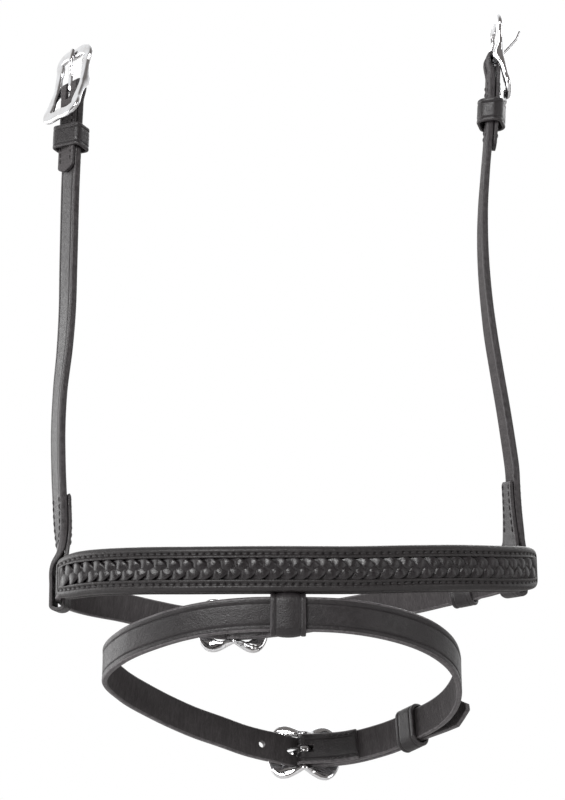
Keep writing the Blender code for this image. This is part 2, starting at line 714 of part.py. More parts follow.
def build_chin(ring, left, right, leather, chrome):
    level = sum(nose_layers()) / 2
    own = CHIN_THICKNESS
    bar_right = ring_distance(ring, CHIN_BAR_DEG)
    bar_left = ring_distance(ring, CHIN_BAR_DEG - 360.0)
    run = SMALL_BUCKLE_LENGTH / 2
    zero = Vector((0.0, 0.0, 0.0))
    coming = [(s, n, 1.0, 1.0) for s, n in straight((right - STRAP_TUCK, level), (bar_right - run, level), 24)]
    stations = chain(coming, fold_stations(-1.0, bar_right, level, own, STITCHED_FOLD, BAR_RISE))
    strap = layer("chin_buckle_strap", ring, stations, CHIN_WIDTH, own, STRAP_CHAMFER, leather, zero)
    place = place_on(ring, bar_right, level + BAR_RISE, -1.0)
    slot = box_cutter("chin_slot_form", place, (-SMALL_RAIL_WIDTH * 1.2, -TONGUE_WIDTH / 2 - SLOT_CLEARANCE,
                      -CHIN_THICKNESS * 1.6), (SMALL_RAIL_WIDTH, TONGUE_WIDTH / 2 + SLOT_CLEARANCE,
                      CHIN_THICKNESS * 1.6), leather)
    cut(strap, slot, "slot", 'DIFFERENCE')
    lying, riding = billet_rise(own, own)
    tip = ring_distance(ring, CHIN_TIP_DEG - 360.0)
    tuck = left + STRAP_TUCK
    climb = bar_left + run * 2.4
    low = level + lying * 0.6
    stations = chain(straight((tuck, level), (climb, level), 14), ease((climb, level), (bar_left + run, low), 3),
                     ease((bar_left + run, low), (bar_left, level + riding), 6),
                     ease((bar_left, level + riding), (bar_left - run, level + lying), 6),
                     straight((bar_left - run, level + lying), (tip + CHIN_WIDTH / 2, level + lying), 13))
    stations = [(s, n, 1.0, 1.0) for s, n in stations]
    stations += [(tip + CHIN_WIDTH / 4, level + lying, 0.75, 1.0), (tip, level + lying, 0.4, 1.0)]
    billet = layer("chin_billet_strap", ring, stations, CHIN_WIDTH, own, STRAP_CHAMFER, leather, zero)
    pin = place_on(ring, bar_left + run * PIN_HOLE_SHARE, level + (low + riding) / 2, 1.0)
    pin_form = oval_cutter("chin_pin_form", [pin], PIN_HOLE_LENGTH, TONGUE_WIDTH + SLOT_CLEARANCE * 1.5,
                           own * 4, leather)
    cut(billet, pin_form, "pin_hole", 'DIFFERENCE')
    spots = [bar_left + HOLE_PITCH * (step + 1) + run * PIN_HOLE_SHARE for step in range(HOLE_COUNT)]
    holes = oval_cutter("chin_hole_form", hole_places(ring, spots, [level] * HOLE_COUNT), HOLE_DIAMETER,
                        HOLE_DIAMETER, own * 3, leather)
    cut(billet, holes, "holes", 'DIFFERENCE')
    flare = small_flare(own, own)
    buckle_frame("chin_buckle_frame", place, SMALL_SIZE, small_form(CHIN_WIDTH), flare, chrome)
    tongue("chin_buckle_tongue", place, SMALL_SIZE, flare, TONGUE_OVERHANG, PIN_SHARES, chrome)
    spot = ring_distance(ring, CHIN_KEEPER_DEG)
    spot_place = place_on(ring, spot, level, 1.0)
    keeper("chin_keeper", spot_place, CHIN_WIDTH / 2 + KEEPER_SIDE_EASE, -own / 2 - KEEPER_EASE,
           own * 1.5 + GAP + KEEPER_EASE, KEEPER_HEIGHT, leather)


def build_flash(leather, chrome):
    course, turn, crossing = flash_course()
    own = FLASH_THICKNESS
    run = SMALL_BUCKLE_LENGTH / 2
    lying, riding = billet_rise(own, own)
    tip = turn + FLASH_OVERLAP
    climb = turn - run * 3.0
    low = lying * 0.6
    lift = turn + FLASH_KEEPER_REACH + KEEPER_HEIGHT / 2
    fold = list(reversed(fold_stations(1.0, 0.0, 0.0, own, STITCHED_FOLD, BAR_RISE)))
    rest = chain(straight((run, 0.0), (climb, 0.0), 44), ease((climb, 0.0), (turn - run, low), 4),
                 ease((turn - run, low), (turn, riding), 6), ease((turn, riding), (turn + run, lying), 6),
                 straight((turn + run, lying), (lift, lying), 5),
                 [(lift + (tip - lift) * step / 5, lying + FLASH_TIP_SPRING * (step / 5) ** 1.6)
                  for step in range(1, 4)])
    stations = chain(fold, [(s, n, 1.0, 1.0) for s, n in rest])
    stations += [(lift + (tip - lift) * 0.86, lying + FLASH_TIP_SPRING * 0.86 ** 1.6, 0.95, 1.0),
                 (tip, lying + FLASH_TIP_SPRING, 0.45, 1.0)]
    front, across = course.place(crossing, 0.0)
    strap = layer("flash_strap", course, stations, FLASH_WIDTH, own, STRAP_CHAMFER, leather, front)
    place = place_on(course, 0.0, BAR_RISE, 1.0)
    slot = box_cutter("flash_slot_form", place, (-SMALL_RAIL_WIDTH * 1.2, -TONGUE_WIDTH / 2 - SLOT_CLEARANCE,
                      -own * 1.6), (SMALL_RAIL_WIDTH, TONGUE_WIDTH / 2 + SLOT_CLEARANCE, own * 1.6), leather)
    cut(strap, slot, "slot", 'DIFFERENCE')
    pin = place_on(course, turn - run * PIN_HOLE_SHARE, (low + riding) / 2, 1.0)
    pin_form = oval_cutter("flash_pin_form", [pin], PIN_HOLE_LENGTH, TONGUE_WIDTH + SLOT_CLEARANCE * 1.5,
                           own * 4, leather)
    cut(strap, pin_form, "pin_hole", 'DIFFERENCE')
    spots = [turn - HOLE_PITCH * (step + 1) - run * PIN_HOLE_SHARE for step in range(HOLE_COUNT)]
    holes = oval_cutter("flash_hole_form", hole_places(course, spots, [0.0] * HOLE_COUNT), HOLE_DIAMETER,
                        HOLE_DIAMETER, own * 3, leather)
    cut(strap, holes, "holes", 'DIFFERENCE')
    flare = small_flare(own, own)
    buckle_frame("flash_buckle_frame", place, SMALL_SIZE, small_form(FLASH_WIDTH), flare, chrome)
    tongue("flash_buckle_tongue", place, SMALL_SIZE, flare, TONGUE_OVERHANG, PIN_SHARES, chrome)
    spot_place = place_on(course, FLASH_KEEPER_REACH, 0.0, 1.0)
    keeper("flash_keeper", spot_place, FLASH_WIDTH / 2 + KEEPER_SIDE_EASE, -own / 2 - KEEPER_EASE,
           own * 1.5 + GAP + KEEPER_EASE, KEEPER_HEIGHT, leather)
    build_flash_loop(front, leather)


def build_flash_loop(front, leather):
    """A stadium-shaped loop; its round top turns about the hinge line under the nosepiece."""
    radius = flash_half_stack() - LOOP_WALL / 2
    hinge = Vector((0.0, front.y, -(NOSE_HEIGHT / 2 + GAP + radius + LOOP_WALL / 2)))
    drop = 2 * (hinge.z - front.z)
    points = []
    for step in range(13):
        angle = math.pi * step / 12
        points.append(hinge + Vector((0.0, -radius * math.cos(angle), radius * math.sin(angle))))
    for step in range(13):
        angle = math.pi * (1 + step / 12)
        lower = Vector((0.0, -radius * math.cos(angle), radius * math.sin(angle) - drop))
        points.append(hinge + lower)
    widths = [X_AXIS] * len(points)
    sweep("flash_loop", points, widths, band_profile(LOOP_WIDTH, LOOP_WALL, STRAP_CHAMFER / 2),
          [(1.0, 1.0)] * len(points), True, leather, hinge)


def build_cheek(name, side, ring, degrees, tables, lean_deg, open_deg, leather, chrome):
    shares, twist = tables
    foot = ring_point(degrees)
    distance = ring_distance(ring, degrees if degrees < 120.0 else degrees - 360.0)
    along, across, out = ring.axes(distance)
    course = cheek_course(side, foot, out, shares, twist)
    level = sum(nose_layers()) / 2
    thin = SKIVED / CHEEK_THICKNESS
    depth = CHIN_THICKNESS / 2 + CHEEK_LOOP_EASE
    middle = level - CHEEK_STANDOFF
    outer = middle + depth + SKIVED / 2
    inner = middle - depth - SKIVED / 2
    low = -(CHIN_WIDTH / 2 + CHEEK_LOOP_ROOM)
    near = -(CHEEK_THICKNESS / 2 + GAP + SKIVED / 2)
    rounding = (outer - inner) / 2
    up = -low * 1.2
    bar_at = course.along[-1]
    reach = BAR_RADIUS + GAP + SKIVED / 2
    bar_rise = CHEEK_BAR_RISE
    far = CHEEK_THICKNESS / 2 + GAP + SKIVED / 2
    bend = []
    for step in range(1, 8):
        angle = math.pi * step / 8
        sunk = low - rounding * math.sin(angle) * LOOP_FLATNESS_SHARE
        bend.append((sunk, (outer + inner) / 2 - rounding * math.cos(angle), 1.0, thin))
    lower = [(s, n, 1.0, thin) for s, n in straight((CHEEK_TURN_BACK, near), (up * 1.5, near), 5)]
    lower += [(s, n, 1.0, thin) for s, n in ease((up * 1.5, near), (up * 0.9, inner), 4)]
    lower += [(s, n, 1.0, thin) for s, n in straight((up * 0.9, inner), (low, inner), 3)]
    rising = [(s, n, 1.0, thin) for s, n in straight((low, outer), (up * 0.9, outer), 4)]
    rising += [(s, n, 1.0, thin + (1.0 - thin) * index / 5) for index, (s, n)
               in enumerate(ease((up * 0.9, outer), (up * 1.8, 0.0), 5))]
    rising += [(s, n, 1.0, 1.0) for s, n in straight((up * 1.8, 0.0), (bar_at - CHEEK_FOLD_RUN, 0.0), 20)]
    top = [(s, n, 1.0, 1.0 + (thin - 1.0) * index / 6) for index, (s, n) in
           enumerate(ease((bar_at - CHEEK_FOLD_RUN, 0.0), (bar_at, bar_rise - reach), 6))]
    top += [(s, n, 1.0, thin) for s, n in half_turn((bar_at, bar_rise), reach, 1.0, -1.0)]
    top += [(s, n, 1.0, thin) for s, n
            in ease((bar_at, bar_rise + reach), (bar_at - CHEEK_FOLD_RUN, far), 4)]
    end = bar_at - CHEEK_TOP_TURN_BACK
    top += [(s, n, 1.0, thin) for s, n
            in straight((bar_at - CHEEK_FOLD_RUN, far), (end + CHEEK_WIDTH / 4, far), 5)]
    top += [(end, far, 0.55, thin)]
    stations = chain(lower, bend, rising, top)
    pivot = foot + out * level
    strap = layer(name + "_cheek_strap", course, stations, CHEEK_WIDTH, CHEEK_THICKNESS, STRAP_CHAMFER,
                  leather, pivot)
    place = place_on(course, bar_at, bar_rise, -1.0)
    half_slot = TONGUE_WIDTH / 2 + SLOT_CLEARANCE
    slot = box_cutter(name + "_slot_form", place, (-SMALL_RAIL_WIDTH * 1.4, -half_slot, -CHEEK_THICKNESS * 1.6),
                      (SMALL_RAIL_WIDTH * 1.7, half_slot, CHEEK_THICKNESS * 1.9), leather)
    cut(strap, slot, "slot", 'DIFFERENCE')
    lean = Matrix.Rotation(math.radians(-lean_deg), 4, 'Y')
    frame_place = place @ lean
    buckle_frame(name + "_buckle_frame", frame_place, LARGE_SIZE, CHEEK_FORM, CHEEK_FLARE, chrome)
    opened = frame_place @ Matrix.Rotation(math.radians(open_deg), 4, 'Y')
    tongue(name + "_buckle_tongue", opened, LARGE_SIZE, CHEEK_FLARE, -CHEEK_TONGUE_SHORT,
           OPEN_PIN_SHARES, chrome)
    drop = LARGE_BUCKLE_LENGTH / 2 + CHEEK_KEEPER_CLEARANCE + CHEEK_KEEPER_HEIGHT / 2
    spot_place = place_on(course, bar_at - drop, 0.0, 1.0)
    keeper(name + "_cheek_keeper", spot_place, CHEEK_WIDTH / 2 + GAP, -CHEEK_THICKNESS / 2 - CHEEK_KEEPER_SLACK,
           far + SKIVED / 2 + CHEEK_KEEPER_SLOT, CHEEK_KEEPER_HEIGHT, leather)


def main():
    clear_scene()
    leather = make_material("black_leather", (0.020, 0.017, 0.018), 0.45, 0.0)
    lace = make_material("black_lace", (0.018, 0.015, 0.016), 0.40, 0.0)
    lining = make_material("black_lining", (0.024, 0.021, 0.022), 0.55, 0.0)
    foam = make_material("grey_foam", (0.080, 0.080, 0.080), 0.90, 0.0)
    chrome = make_material("chrome", (0.80, 0.80, 0.82), 0.08, 1.0)
    ring = ring_course()
    left, right = build_nosepiece(ring, leather, lace, foam, lining)
    build_chin(ring, left, right, leather, chrome)
    build_flash(leather, chrome)
    build_cheek("left", -1.0, ring, LEFT_CHEEK_DEG, (LEFT_CHEEK_SHARES, LEFT_TWIST_SHARES),
                LEFT_FRAME_LEAN_DEG, 0.0, leather, chrome)
    build_cheek("right", 1.0, ring, RIGHT_CHEEK_DEG, (RIGHT_CHEEK_SHARES, RIGHT_TWIST_SHARES),
                RIGHT_FRAME_LEAN_DEG, RIGHT_TONGUE_OPEN_DEG, leather, chrome)


main()
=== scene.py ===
"""The flash noseband's visual model: fine leather, plait, stitching and chrome over the CAD solids.

Metres, in the frame's own axes: X runs across the nose, Y from the nose's front to its back, Z up
along the cheek straps. Each strap is swept along a course with a profile that carries its rounded
edges and crease lines. The driving sizes repeat those of the part's source.
"""
import math
import bpy
import numpy as np
from mathutils import Matrix, Vector


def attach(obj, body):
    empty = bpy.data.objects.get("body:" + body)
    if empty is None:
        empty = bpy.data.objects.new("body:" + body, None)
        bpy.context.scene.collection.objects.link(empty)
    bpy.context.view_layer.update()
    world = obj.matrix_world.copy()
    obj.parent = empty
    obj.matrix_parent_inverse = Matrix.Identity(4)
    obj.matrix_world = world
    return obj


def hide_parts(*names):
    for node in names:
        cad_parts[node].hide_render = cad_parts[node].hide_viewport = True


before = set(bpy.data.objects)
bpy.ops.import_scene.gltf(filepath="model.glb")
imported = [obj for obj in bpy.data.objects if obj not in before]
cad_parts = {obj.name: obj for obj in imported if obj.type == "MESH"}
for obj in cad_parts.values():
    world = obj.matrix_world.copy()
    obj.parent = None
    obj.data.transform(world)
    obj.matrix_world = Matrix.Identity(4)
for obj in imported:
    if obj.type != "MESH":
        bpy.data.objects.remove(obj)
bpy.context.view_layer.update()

# Sizes shared with the solids.
GAP = 0.0003
RING_HALF_WIDTH = 0.1168
RING_HALF_DEPTH = 0.0625
RING_RISE = 0.010
NOSE_HEIGHT = 0.0216
NOSE_THICKNESS = 0.0080
NOSE_LEATHER = 0.0024
LINING_THICKNESS = 0.0016
NOSE_END_HEIGHT = 0.0184
NOSE_TAPER = 0.0200
NOSE_LEFT_DEG = -165.0
NOSE_RIGHT_DEG = -7.4
WINDOW_HEIGHT = 0.0100
WINDOW_INSET = 0.0080
STRAP_TUCK = 0.0150
CHIN_WIDTH = 0.0150
CHIN_THICKNESS = 0.0030
CHIN_BAR_DEG = 105.35
CHIN_KEEPER_DEG = 42.0
CHIN_TIP_DEG = 33.5
FLASH_WIDTH = 0.0160
FLASH_THICKNESS = 0.0028
FLASH_HALF_WIDTH = 0.0860
FLASH_HALF_DEPTH = 0.0665
FLASH_TILT_DEG = 25.5
FLASH_LEAN_DEG = 17.0
FLASH_BAR_DEG = 86.5
FLASH_OVERLAP = 0.0990
FLASH_TIP_SPRING = 0.0080
FLASH_KEEPER_REACH = 0.0575
LOOP_WIDTH = 0.0165
LOOP_WALL = 0.0015
LOOP_EASE = 0.0010
LOOP_EDGE_REST = 0.0022
CHEEK_WIDTH = 0.0130
CHEEK_THICKNESS = 0.0038
CHEEK_LENGTH = 0.2680
CHEEK_STANDOFF = 0.0017
CHEEK_TURN_BACK = 0.0470
CHEEK_TOP_TURN_BACK = 0.0465
CHEEK_FOLD_RUN = 0.0100
LEFT_CHEEK_DEG = 176.5
RIGHT_CHEEK_DEG = 17.5
SKIVED = 0.0020
STITCHED_FOLD = 0.0290
SMALL_SIZE = (0.0365, 0.0270, 0.0042)  # a buckle's length, width and rail width
LARGE_SIZE = (0.0440, 0.0290, 0.0048)
RAIL_THICKNESS = 0.0028
BAR_RADIUS = 0.0015
BAR_RISE = 0.0012
CHEEK_BAR_RISE = 0.0006
RAIL_CLEARANCE = 0.0010
CHEEK_FLARE = 0.0044
LEFT_FRAME_LEAN_DEG = 13.0
RIGHT_FRAME_LEAN_DEG = 9.5
TONGUE_WIDTH = 0.0032
TONGUE_THICKNESS = 0.0015
TONGUE_OVERHANG = 0.0016
CHEEK_TONGUE_SHORT = 0.0008
SLOT_CLEARANCE = 0.0005
WAIST_CLEARANCE = 0.0005
RIGHT_TONGUE_OPEN_DEG = 30.0
KEEPER_WALL = 0.0017
KEEPER_HEIGHT = 0.0120
KEEPER_SIDE_EASE = 0.0006
KEEPER_EASE = 0.0010
CHEEK_KEEPER_HEIGHT = 0.0125
CHEEK_KEEPER_SLOT = 0.0020
CHEEK_KEEPER_SLACK = 0.0020
CHEEK_KEEPER_CLEARANCE = 0.0012
HOLE_DIAMETER = 0.0036
HOLE_PITCH = 0.0220
PIN_HOLE_SHARE = 0.22
WAIST_RAIL_SHARE = 0.55
BOSS_SHARE = 0.45
BOSS_SPREAD_SHARE = 0.20
FRAME_OUTLINE_SHARES = ((0.20, 0.30), (0.42, 0.90), (0.62, 1.0), (0.82, 0.88), (0.96, 0.50))
RING_HEIGHT_SHARES = (
    (-172, 0.0), (-158, 0.14), (-146, 0.20), (-128, 0.14), (-113, 0.06), (-90, 0.02), (-76, 0.04),
    (-63, 0.15), (-48, 0.29), (-31, 0.43), (-8, 0.72), (5, 0.82), (17, 0.80), (31, 0.53), (47, 0.22),
    (57, -0.10), (68, -0.43), (80, -0.82), (93, -1.21), (105, -1.40), (120, -1.20), (128, -1.00),
    (135, -0.80), (141, -0.66), (153, -0.50), (165, -0.33), (176, -0.10))
FLASH_RADIUS_SHARES = (
    (-180, 0.985), (-165, 1.100), (-150, 1.105), (-135, 1.078), (-120, 1.060), (-105, 1.028), (-90, 1.0),
    (-75, 1.010), (-60, 1.012), (-45, 1.003), (-30, 0.976), (-15, 0.942), (0, 0.922),
    (15, 0.915), (30, 0.925), (45, 0.950), (60, 1.0), (75, 1.045), (90, 1.015), (105, 0.930), (120, 0.855),
    (135, 0.830), (150, 0.836), (165, 0.885))
LEFT_CHEEK_SHARES = (
    (0.035, 0.0, 0.0), (0.070, 0.007, 0.003), (0.147, 0.003, 0.006), (0.223, -0.002, 0.008),
    (0.301, -0.005, 0.011), (0.379, -0.0035, 0.015), (0.458, 0.0025, 0.018), (0.538, 0.0055, 0.021),
    (0.620, 0.005, 0.025), (0.701, 0.0045, 0.029), (0.784, 0.004, 0.034), (0.880, 0.005, 0.040),
    (1.000, 0.007, 0.047))
RIGHT_CHEEK_SHARES = (
    (0.035, 0.0, 0.0), (0.080, -0.001, -0.007), (0.157, -0.004, -0.014), (0.195, -0.0055, -0.018),
    (0.233, -0.010, -0.022), (0.309, -0.021, -0.031), (0.385, -0.0335, -0.041), (0.461, -0.045, -0.050),
    (0.539, -0.053, -0.058), (0.616, -0.057, -0.066), (0.694, -0.056, -0.072), (0.773, -0.050, -0.078),
    (0.850, -0.043, -0.083), (0.994, -0.035, -0.088))
LEFT_TWIST_SHARES = (
    (0.105, -21.0), (0.16, -25.5), (0.24, -26.0), (0.37, -27.0), (0.41, -29.5), (0.49, -34.0), (0.57, -37.0),
    (0.66, -39.0), (0.74, -40.0), (0.80, -41.0), (1.0, -43.0))
RIGHT_TWIST_SHARES = (
    (0.120, 14.2), (0.22, 12.2), (0.38, 10.4), (0.455, 10.2), (0.50, 8.3), (0.575, 6.4), (0.655, 4.3),
    (0.70, 2.4), (0.78, 0.5), (0.86, 1.2), (1.0, 3.5))
TWIST_START_SHARE = 0.035
LOOP_FLATNESS_SHARE = 0.58
PIN_SHARES = ((0.14, 0.16), (0.42, 0.82), (0.64, 1.0), (1.0, 1.0))
OPEN_PIN_SHARES = ((0.25, 0.18), (0.55, 0.62), (0.80, 0.97), (1.0, 1.0))
# Outline, waist, rail share at the waist, boss share, dip at the ends and whether the lugs are solid.
CHEEK_FORM = (((0.30, 0.10), (0.60, 0.92), (0.82, 0.97), (0.95, 0.80), (1.0, 0.48)),
              0.93, 0.90, 0.57, 0.965, 1.0)

# Where the visible pieces differ a little from the solids, for the photo or for room in the poses.
CHEEK_LOOP_EASE = 0.0008
CHEEK_LOOP_ROOM = 0.0016
CHEEK_POINT_REACH = 0.0018
CHEEK_POINT_RUN = CHEEK_WIDTH * 0.22
CHEEK_POINT_SHARES = ((0.8, 0.94), (0.6, 0.83), (0.4, 0.68), (0.2, 0.46), (0.06, 0.27), (0.0, 0.15))
CHEEK_KEEPER_TURN_DEG = 17.0
FLASH_SHIFT = (0.0005, 0.0, 0.0009)
FLASH_TIP_SHORT = 0.0055
FLASH_TIP_REACH = 0.036
FLASH_TIP_SINK = 0.0018
FLASH_TIP_BEND = FLASH_TIP_SPRING * 0.95
FLASH_RUNNER_SHIFT = 0.0030
FLASH_RUNNER_EASE = 0.0008
FLASH_HOLE_SHIFT = 0.0030
LOOP_LEFT = 0.0031
LOOP_LIFT = 0.0004
LOOP_DEPTH_SHARE = 1.08
PIN_HOLE = (0.0098, TONGUE_WIDTH + 0.0012)  # its length and width

# Sizes of the visible details.
STEP = 0.0012
CREASE_INSET = 0.0021
FLASH_CREASE_INSET = 0.0031
CREASE_DEPTH = 0.00028
CREASE_HALF = 0.00042
CREASE_FORM = ((-2.2, 0.0), (-1.2, -0.12), (-0.6, -0.62), (0.0, -1.0), (0.6, -0.62), (1.2, -0.12), (2.2, 0.0))
EDGE_ROUND = 0.0011
STITCH_PITCH = 0.0034
STITCH_ROW = 0.0071
STITCH_FORM = ((0.0, -1.6, 0.75), (0.10, -0.2, 0.95), (0.3, 0.75, 1.05), (0.5, 1.0, 1.1), (0.7, 0.75, 1.05),
               (0.90, -0.2, 0.95), (1.0, -1.6, 0.75))
STITCH_LIFT = 0.00022
SEAM_SLANT = 0.00008
FOLD_SEAM_START = 0.0105
THREAD_RADIUS = 0.00034
NOSE_CORNER = 0.0045
NOSE_ROLL = 0.0026
NOSE_SEAM_DEPTH = 0.00040
NOSE_PIT_DEPTH = 0.00085
NOSE_SLANT = 0.00010
RIDGE = 0.0056
RIDGE_RISE = 0.00050
NOSE_LANES = (0.0, 0.24, 0.40, 0.433, 0.45, 0.462, 0.475, 0.49, 0.51, 0.535, 0.56, 0.58, 0.60, 0.62, 0.64,
              0.66, 0.68, 0.705, 0.735, 0.77, 0.81, 0.85, 0.885, 0.915, 0.94, 0.96, 0.977, 0.99, 1.0)
PLAIT_PERIOD = 0.0192
LACE_REACH = 0.0029
LACE_LIFT = 0.00095
LACE_HALF_WIDTH = 0.00265
LACE_HALF_THICKNESS = 0.00085
LACE_STEP = 0.0006
PAD_ROUNDING = 0.0040
GRAIN, FLESH, EDGE = 0, 1, 2
SHARP_DEG = 40.0

# Shares of a buckle's rail and strap that only shape it.
FRAME_INSET, SOLID_INSET = 1.3, 0.3
FRAME_FULLNESS, SOLID_FULLNESS = 0.75, 0.41
BAR_FORM = ((-1.0, 1.25), (-0.86, 1.15), (-0.72, 1.0), (0.0, 1.0), (0.72, 1.0), (0.86, 1.15), (1.0, 1.25))
EYE_STEPS, EYE_START_DEG, EYE_STEP_DEG = 20, -165.0, 12.0
BILLET_LOW_SHARE = 0.6
CHIN_CLIMB_SHARE = 2.4
FLASH_CLIMB_SHARE = 3.0

# The studio.
FLOOR_HALF, FLOOR_HEIGHT = 4.0, -0.45
ROOM_COLOUR, ROOM_STRENGTH = (0.30, 0.28, 0.27, 1.0), 0.7
BACKDROP_ABOVE = ("Z", -0.34, 0.02)
BACKDROP_BEHIND = ("Y", -0.55, 0.25)
CAMERA_LENS = 85.5
CAMERA_PLACE = (-0.0057, -0.9396, -0.1059)
CAMERA_PITCH_DEG = 12.0

X_AXIS = Vector((1.0, 0.0, 0.0))
Z_AXIS = Vector((0.0, 0.0, 1.0))
FRONT_INNER = NOSE_THICKNESS / 2 - NOSE_LEATHER
STRAP_LEVEL = (FRONT_INNER - NOSE_THICKNESS / 2 + LINING_THICKNESS) / 2
SMALL_RUN = SMALL_SIZE[0] / 2


# ---- courses -----------------------------------------------------------------------------------

def soft_step(value, low=0.0, high=1.0):
    share = min(max((value - low) / (high - low), 0.0), 1.0)
    return share * share * (3 - 2 * share)


def bump(value, middle, spread):
    return math.exp(-((value - middle) / spread) ** 2)


def turns(count):
    return [math.tau * step / count for step in range(count)]


class Course:
    """A curve in space, read by the distance along it."""

    def __init__(self, points, widths, outward=1.0):
        self.points = np.array([list(point) for point in points])
        self.widths = np.array([list(width) for width in widths])
        steps = np.linalg.norm(np.diff(self.points, axis=0), axis=1)
        self.along = np.concatenate(([0.0], np.cumsum(steps)))
        self.outward = outward

    def read(self, table, distance):
        return Vector([float(np.interp(distance, self.along, table[:, k])) for k in range(3)])

    def inside(self, distance):
        return min(max(distance, self.along[0]), self.along[-1])

    def point(self, distance):
        inside = self.inside(distance)
        found = self.read(self.points, inside)
        return found if distance == inside else found + self.travel(inside) * (distance - inside)

    def travel(self, distance):
        reach = (self.along[-1] - self.along[0]) / (2 * len(self.along))
        inside = self.inside(distance)
        ahead = self.read(self.points, self.inside(inside + reach))
        return (ahead - self.read(self.points, self.inside(inside - reach))).normalized()

    def axes(self, distance):
        along = self.travel(distance)
        out = along.cross(self.read(self.widths, distance)).normalized() * self.outward
        return along, out.cross(along).normalized() * self.outward, out

    def spot(self, distance, rise, sideways=0.0):
        """A point of a strap's surface, with the way across and the way out there."""
        along, across, out = self.axes(distance)
        return self.point(distance) + out * rise + across * sideways, across, out

    def place(self, distance, rise, toward=1.0):
        """The axes there as a matrix: U along the course, W across it and N out of it."""
        along, across, out = self.axes(distance)
        u_axis = along * toward
        matrix = Matrix((u_axis, out.cross(u_axis), out)).transposed().to_4x4()
        matrix.translation = self.point(distance) + out * rise
        return matrix


def smooth_value(knots, place):
    """The value at a place on a smooth line through the knots, which are pairs of place and value."""
    last = len(knots) - 1
    index = 0
    while index < last - 1 and knots[index + 1][0] < place:
        index += 1
    low, high = knots[index], knots[index + 1]
    before, after = knots[max(index - 1, 0)], knots[min(index + 2, last)]
    span = high[0] - low[0]
    t = min(max((place - low[0]) / span, 0.0), 1.0)
    leaving = (high[1] - before[1]) / (high[0] - before[0]) * span
    arriving = (after[1] - low[1]) / (after[0] - low[0]) * span
    square = t * t
    cube = square * t
    return ((2 * cube - 3 * square + 1) * low[1] + (cube - 2 * square + t) * leaving
            + (3 * square - 2 * cube) * high[1] + (cube - square) * arriving)


def round_value(knots, degrees):
    """The same on a closed line, whose places are degrees round the ring."""
    before = [(place - 360.0, value) for place, value in knots[-2:]]
    after = [(place + 360.0, value) for place, value in knots[:2]]
    return smooth_value(before + list(knots) + after, (degrees + 180.0) % 360.0 - 180.0)


def ring_point(degrees):
    angle = math.radians(degrees)
    height = RING_RISE * round_value(RING_HEIGHT_SHARES, degrees)
    return Vector((RING_HALF_WIDTH * math.cos(angle), RING_HALF_DEPTH * math.sin(angle), height))


def ring_distance(degrees):
    return float(np.interp(degrees, ring_degrees, ring.along))


def flash_course():
    """The flash ring, starting at its buckle bar and going right, front, left and back again."""
    tilt = math.radians(FLASH_TILT_DEG)
    back = Vector((0.0, math.cos(tilt), -math.sin(tilt)))
    lean = math.radians(FLASH_LEAN_DEG)
    upright = Vector((0.0, math.sin(lean), math.cos(lean)))
    drop = -(NOSE_HEIGHT / 2 + GAP + LOOP_EDGE_REST + FLASH_WIDTH / 2)
    middle = Vector((0.0, -RING_HALF_DEPTH, drop)) + back * FLASH_HALF_DEPTH
    points = []
    widths = []
    degrees = list(np.arange(FLASH_BAR_DEG + 12.0, FLASH_BAR_DEG - 480.0, -0.5))
    for value in degrees:
        angle = math.radians(value)
        radius = round_value(FLASH_RADIUS_SHARES, value)
        sideways = FLASH_HALF_WIDTH * radius * math.cos(angle)
        points.append(middle + X_AXIS * sideways + back * (FLASH_HALF_DEPTH * radius * math.sin(angle)))
        share = soft_step((1 + math.sin(angle)) / 2)
        widths.append((Z_AXIS * (1 - share) + upright * share).normalized())
    course = Course(points, widths, -1.0)
    turned = [-value for value in degrees]
    course.along = course.along - float(np.interp(-FLASH_BAR_DEG, turned, course.along))
    return course, *[float(np.interp(value, turned, course.along)) for value in (360.0 - FLASH_BAR_DEG, 90.0)]


def smooth_curve(knots, count, closed):
    """Points on a curve through the knots, count to each span."""
    found = []
    total = len(knots)
    for span in range(total if closed else total - 1):
        if closed:
            a, b, c, d = [knots[(span + k) % total] for k in (-1, 0, 1, 2)]
        else:
            b, c = knots[span], knots[span + 1]
            a = knots[span - 1] if span > 0 else b * 2 - c
            d = knots[span + 2] if span + 2 < total else c * 2 - b
        for step in range(count):
            t = step / count
            value = b * 2 + (c - a) * t + (a * 2 - b * 5 + c * 4 - d) * (t * t)
            found.append((value + (b * 3 - a - c * 3 + d) * (t * t * t)) / 2)
    return found if closed else found + [knots[-1]]


def cheek_course(side, foot, foot_out, shares, twist):
    """A cheek strap's middle layer, from the noseband up; side is -1 for left and 1 for right."""
    start = foot + foot_out * CHEEK_STANDOFF
    knots = [start] + [start + Vector((sideways, backward, height)) * CHEEK_LENGTH
                       for height, sideways, backward in shares]
    points = smooth_curve(knots, 24, False)
    held = math.degrees(math.atan2(foot_out.y, foot_out.x * side))
    twists = [(0.0, held), (TWIST_START_SHARE, held)] + list(twist)
    widths = []
    for point in points:
        angle = math.radians(smooth_value(twists, (point.z - start.z) / CHEEK_LENGTH))
        widths.append(Vector((math.sin(angle), -math.cos(angle) * side, 0.0)) * side)
    return Course(points, widths, side)


def straight(first, second, eased=False):
    """Points from one to the other, straight or leaving and arriving level."""
    count = max(2, round(abs(second[0] - first[0]) / STEP))
    found = []
    for step in range(count + 1):
        t = step / count
        share = soft_step(t) if eased else t
        found.append((first[0] + (second[0] - first[0]) * t, first[1] + (second[1] - first[1]) * share))
    return found


def ease(first, second):
    return straight(first, second, True)


def half_turn(middle, radius, toward, first_side):
    found = []
    for step in range(1, 16):
        angle = math.pi * step / 16
        found.append((middle[0] + toward * radius * math.sin(angle),
                      middle[1] + first_side * radius * math.cos(angle)))
    return found


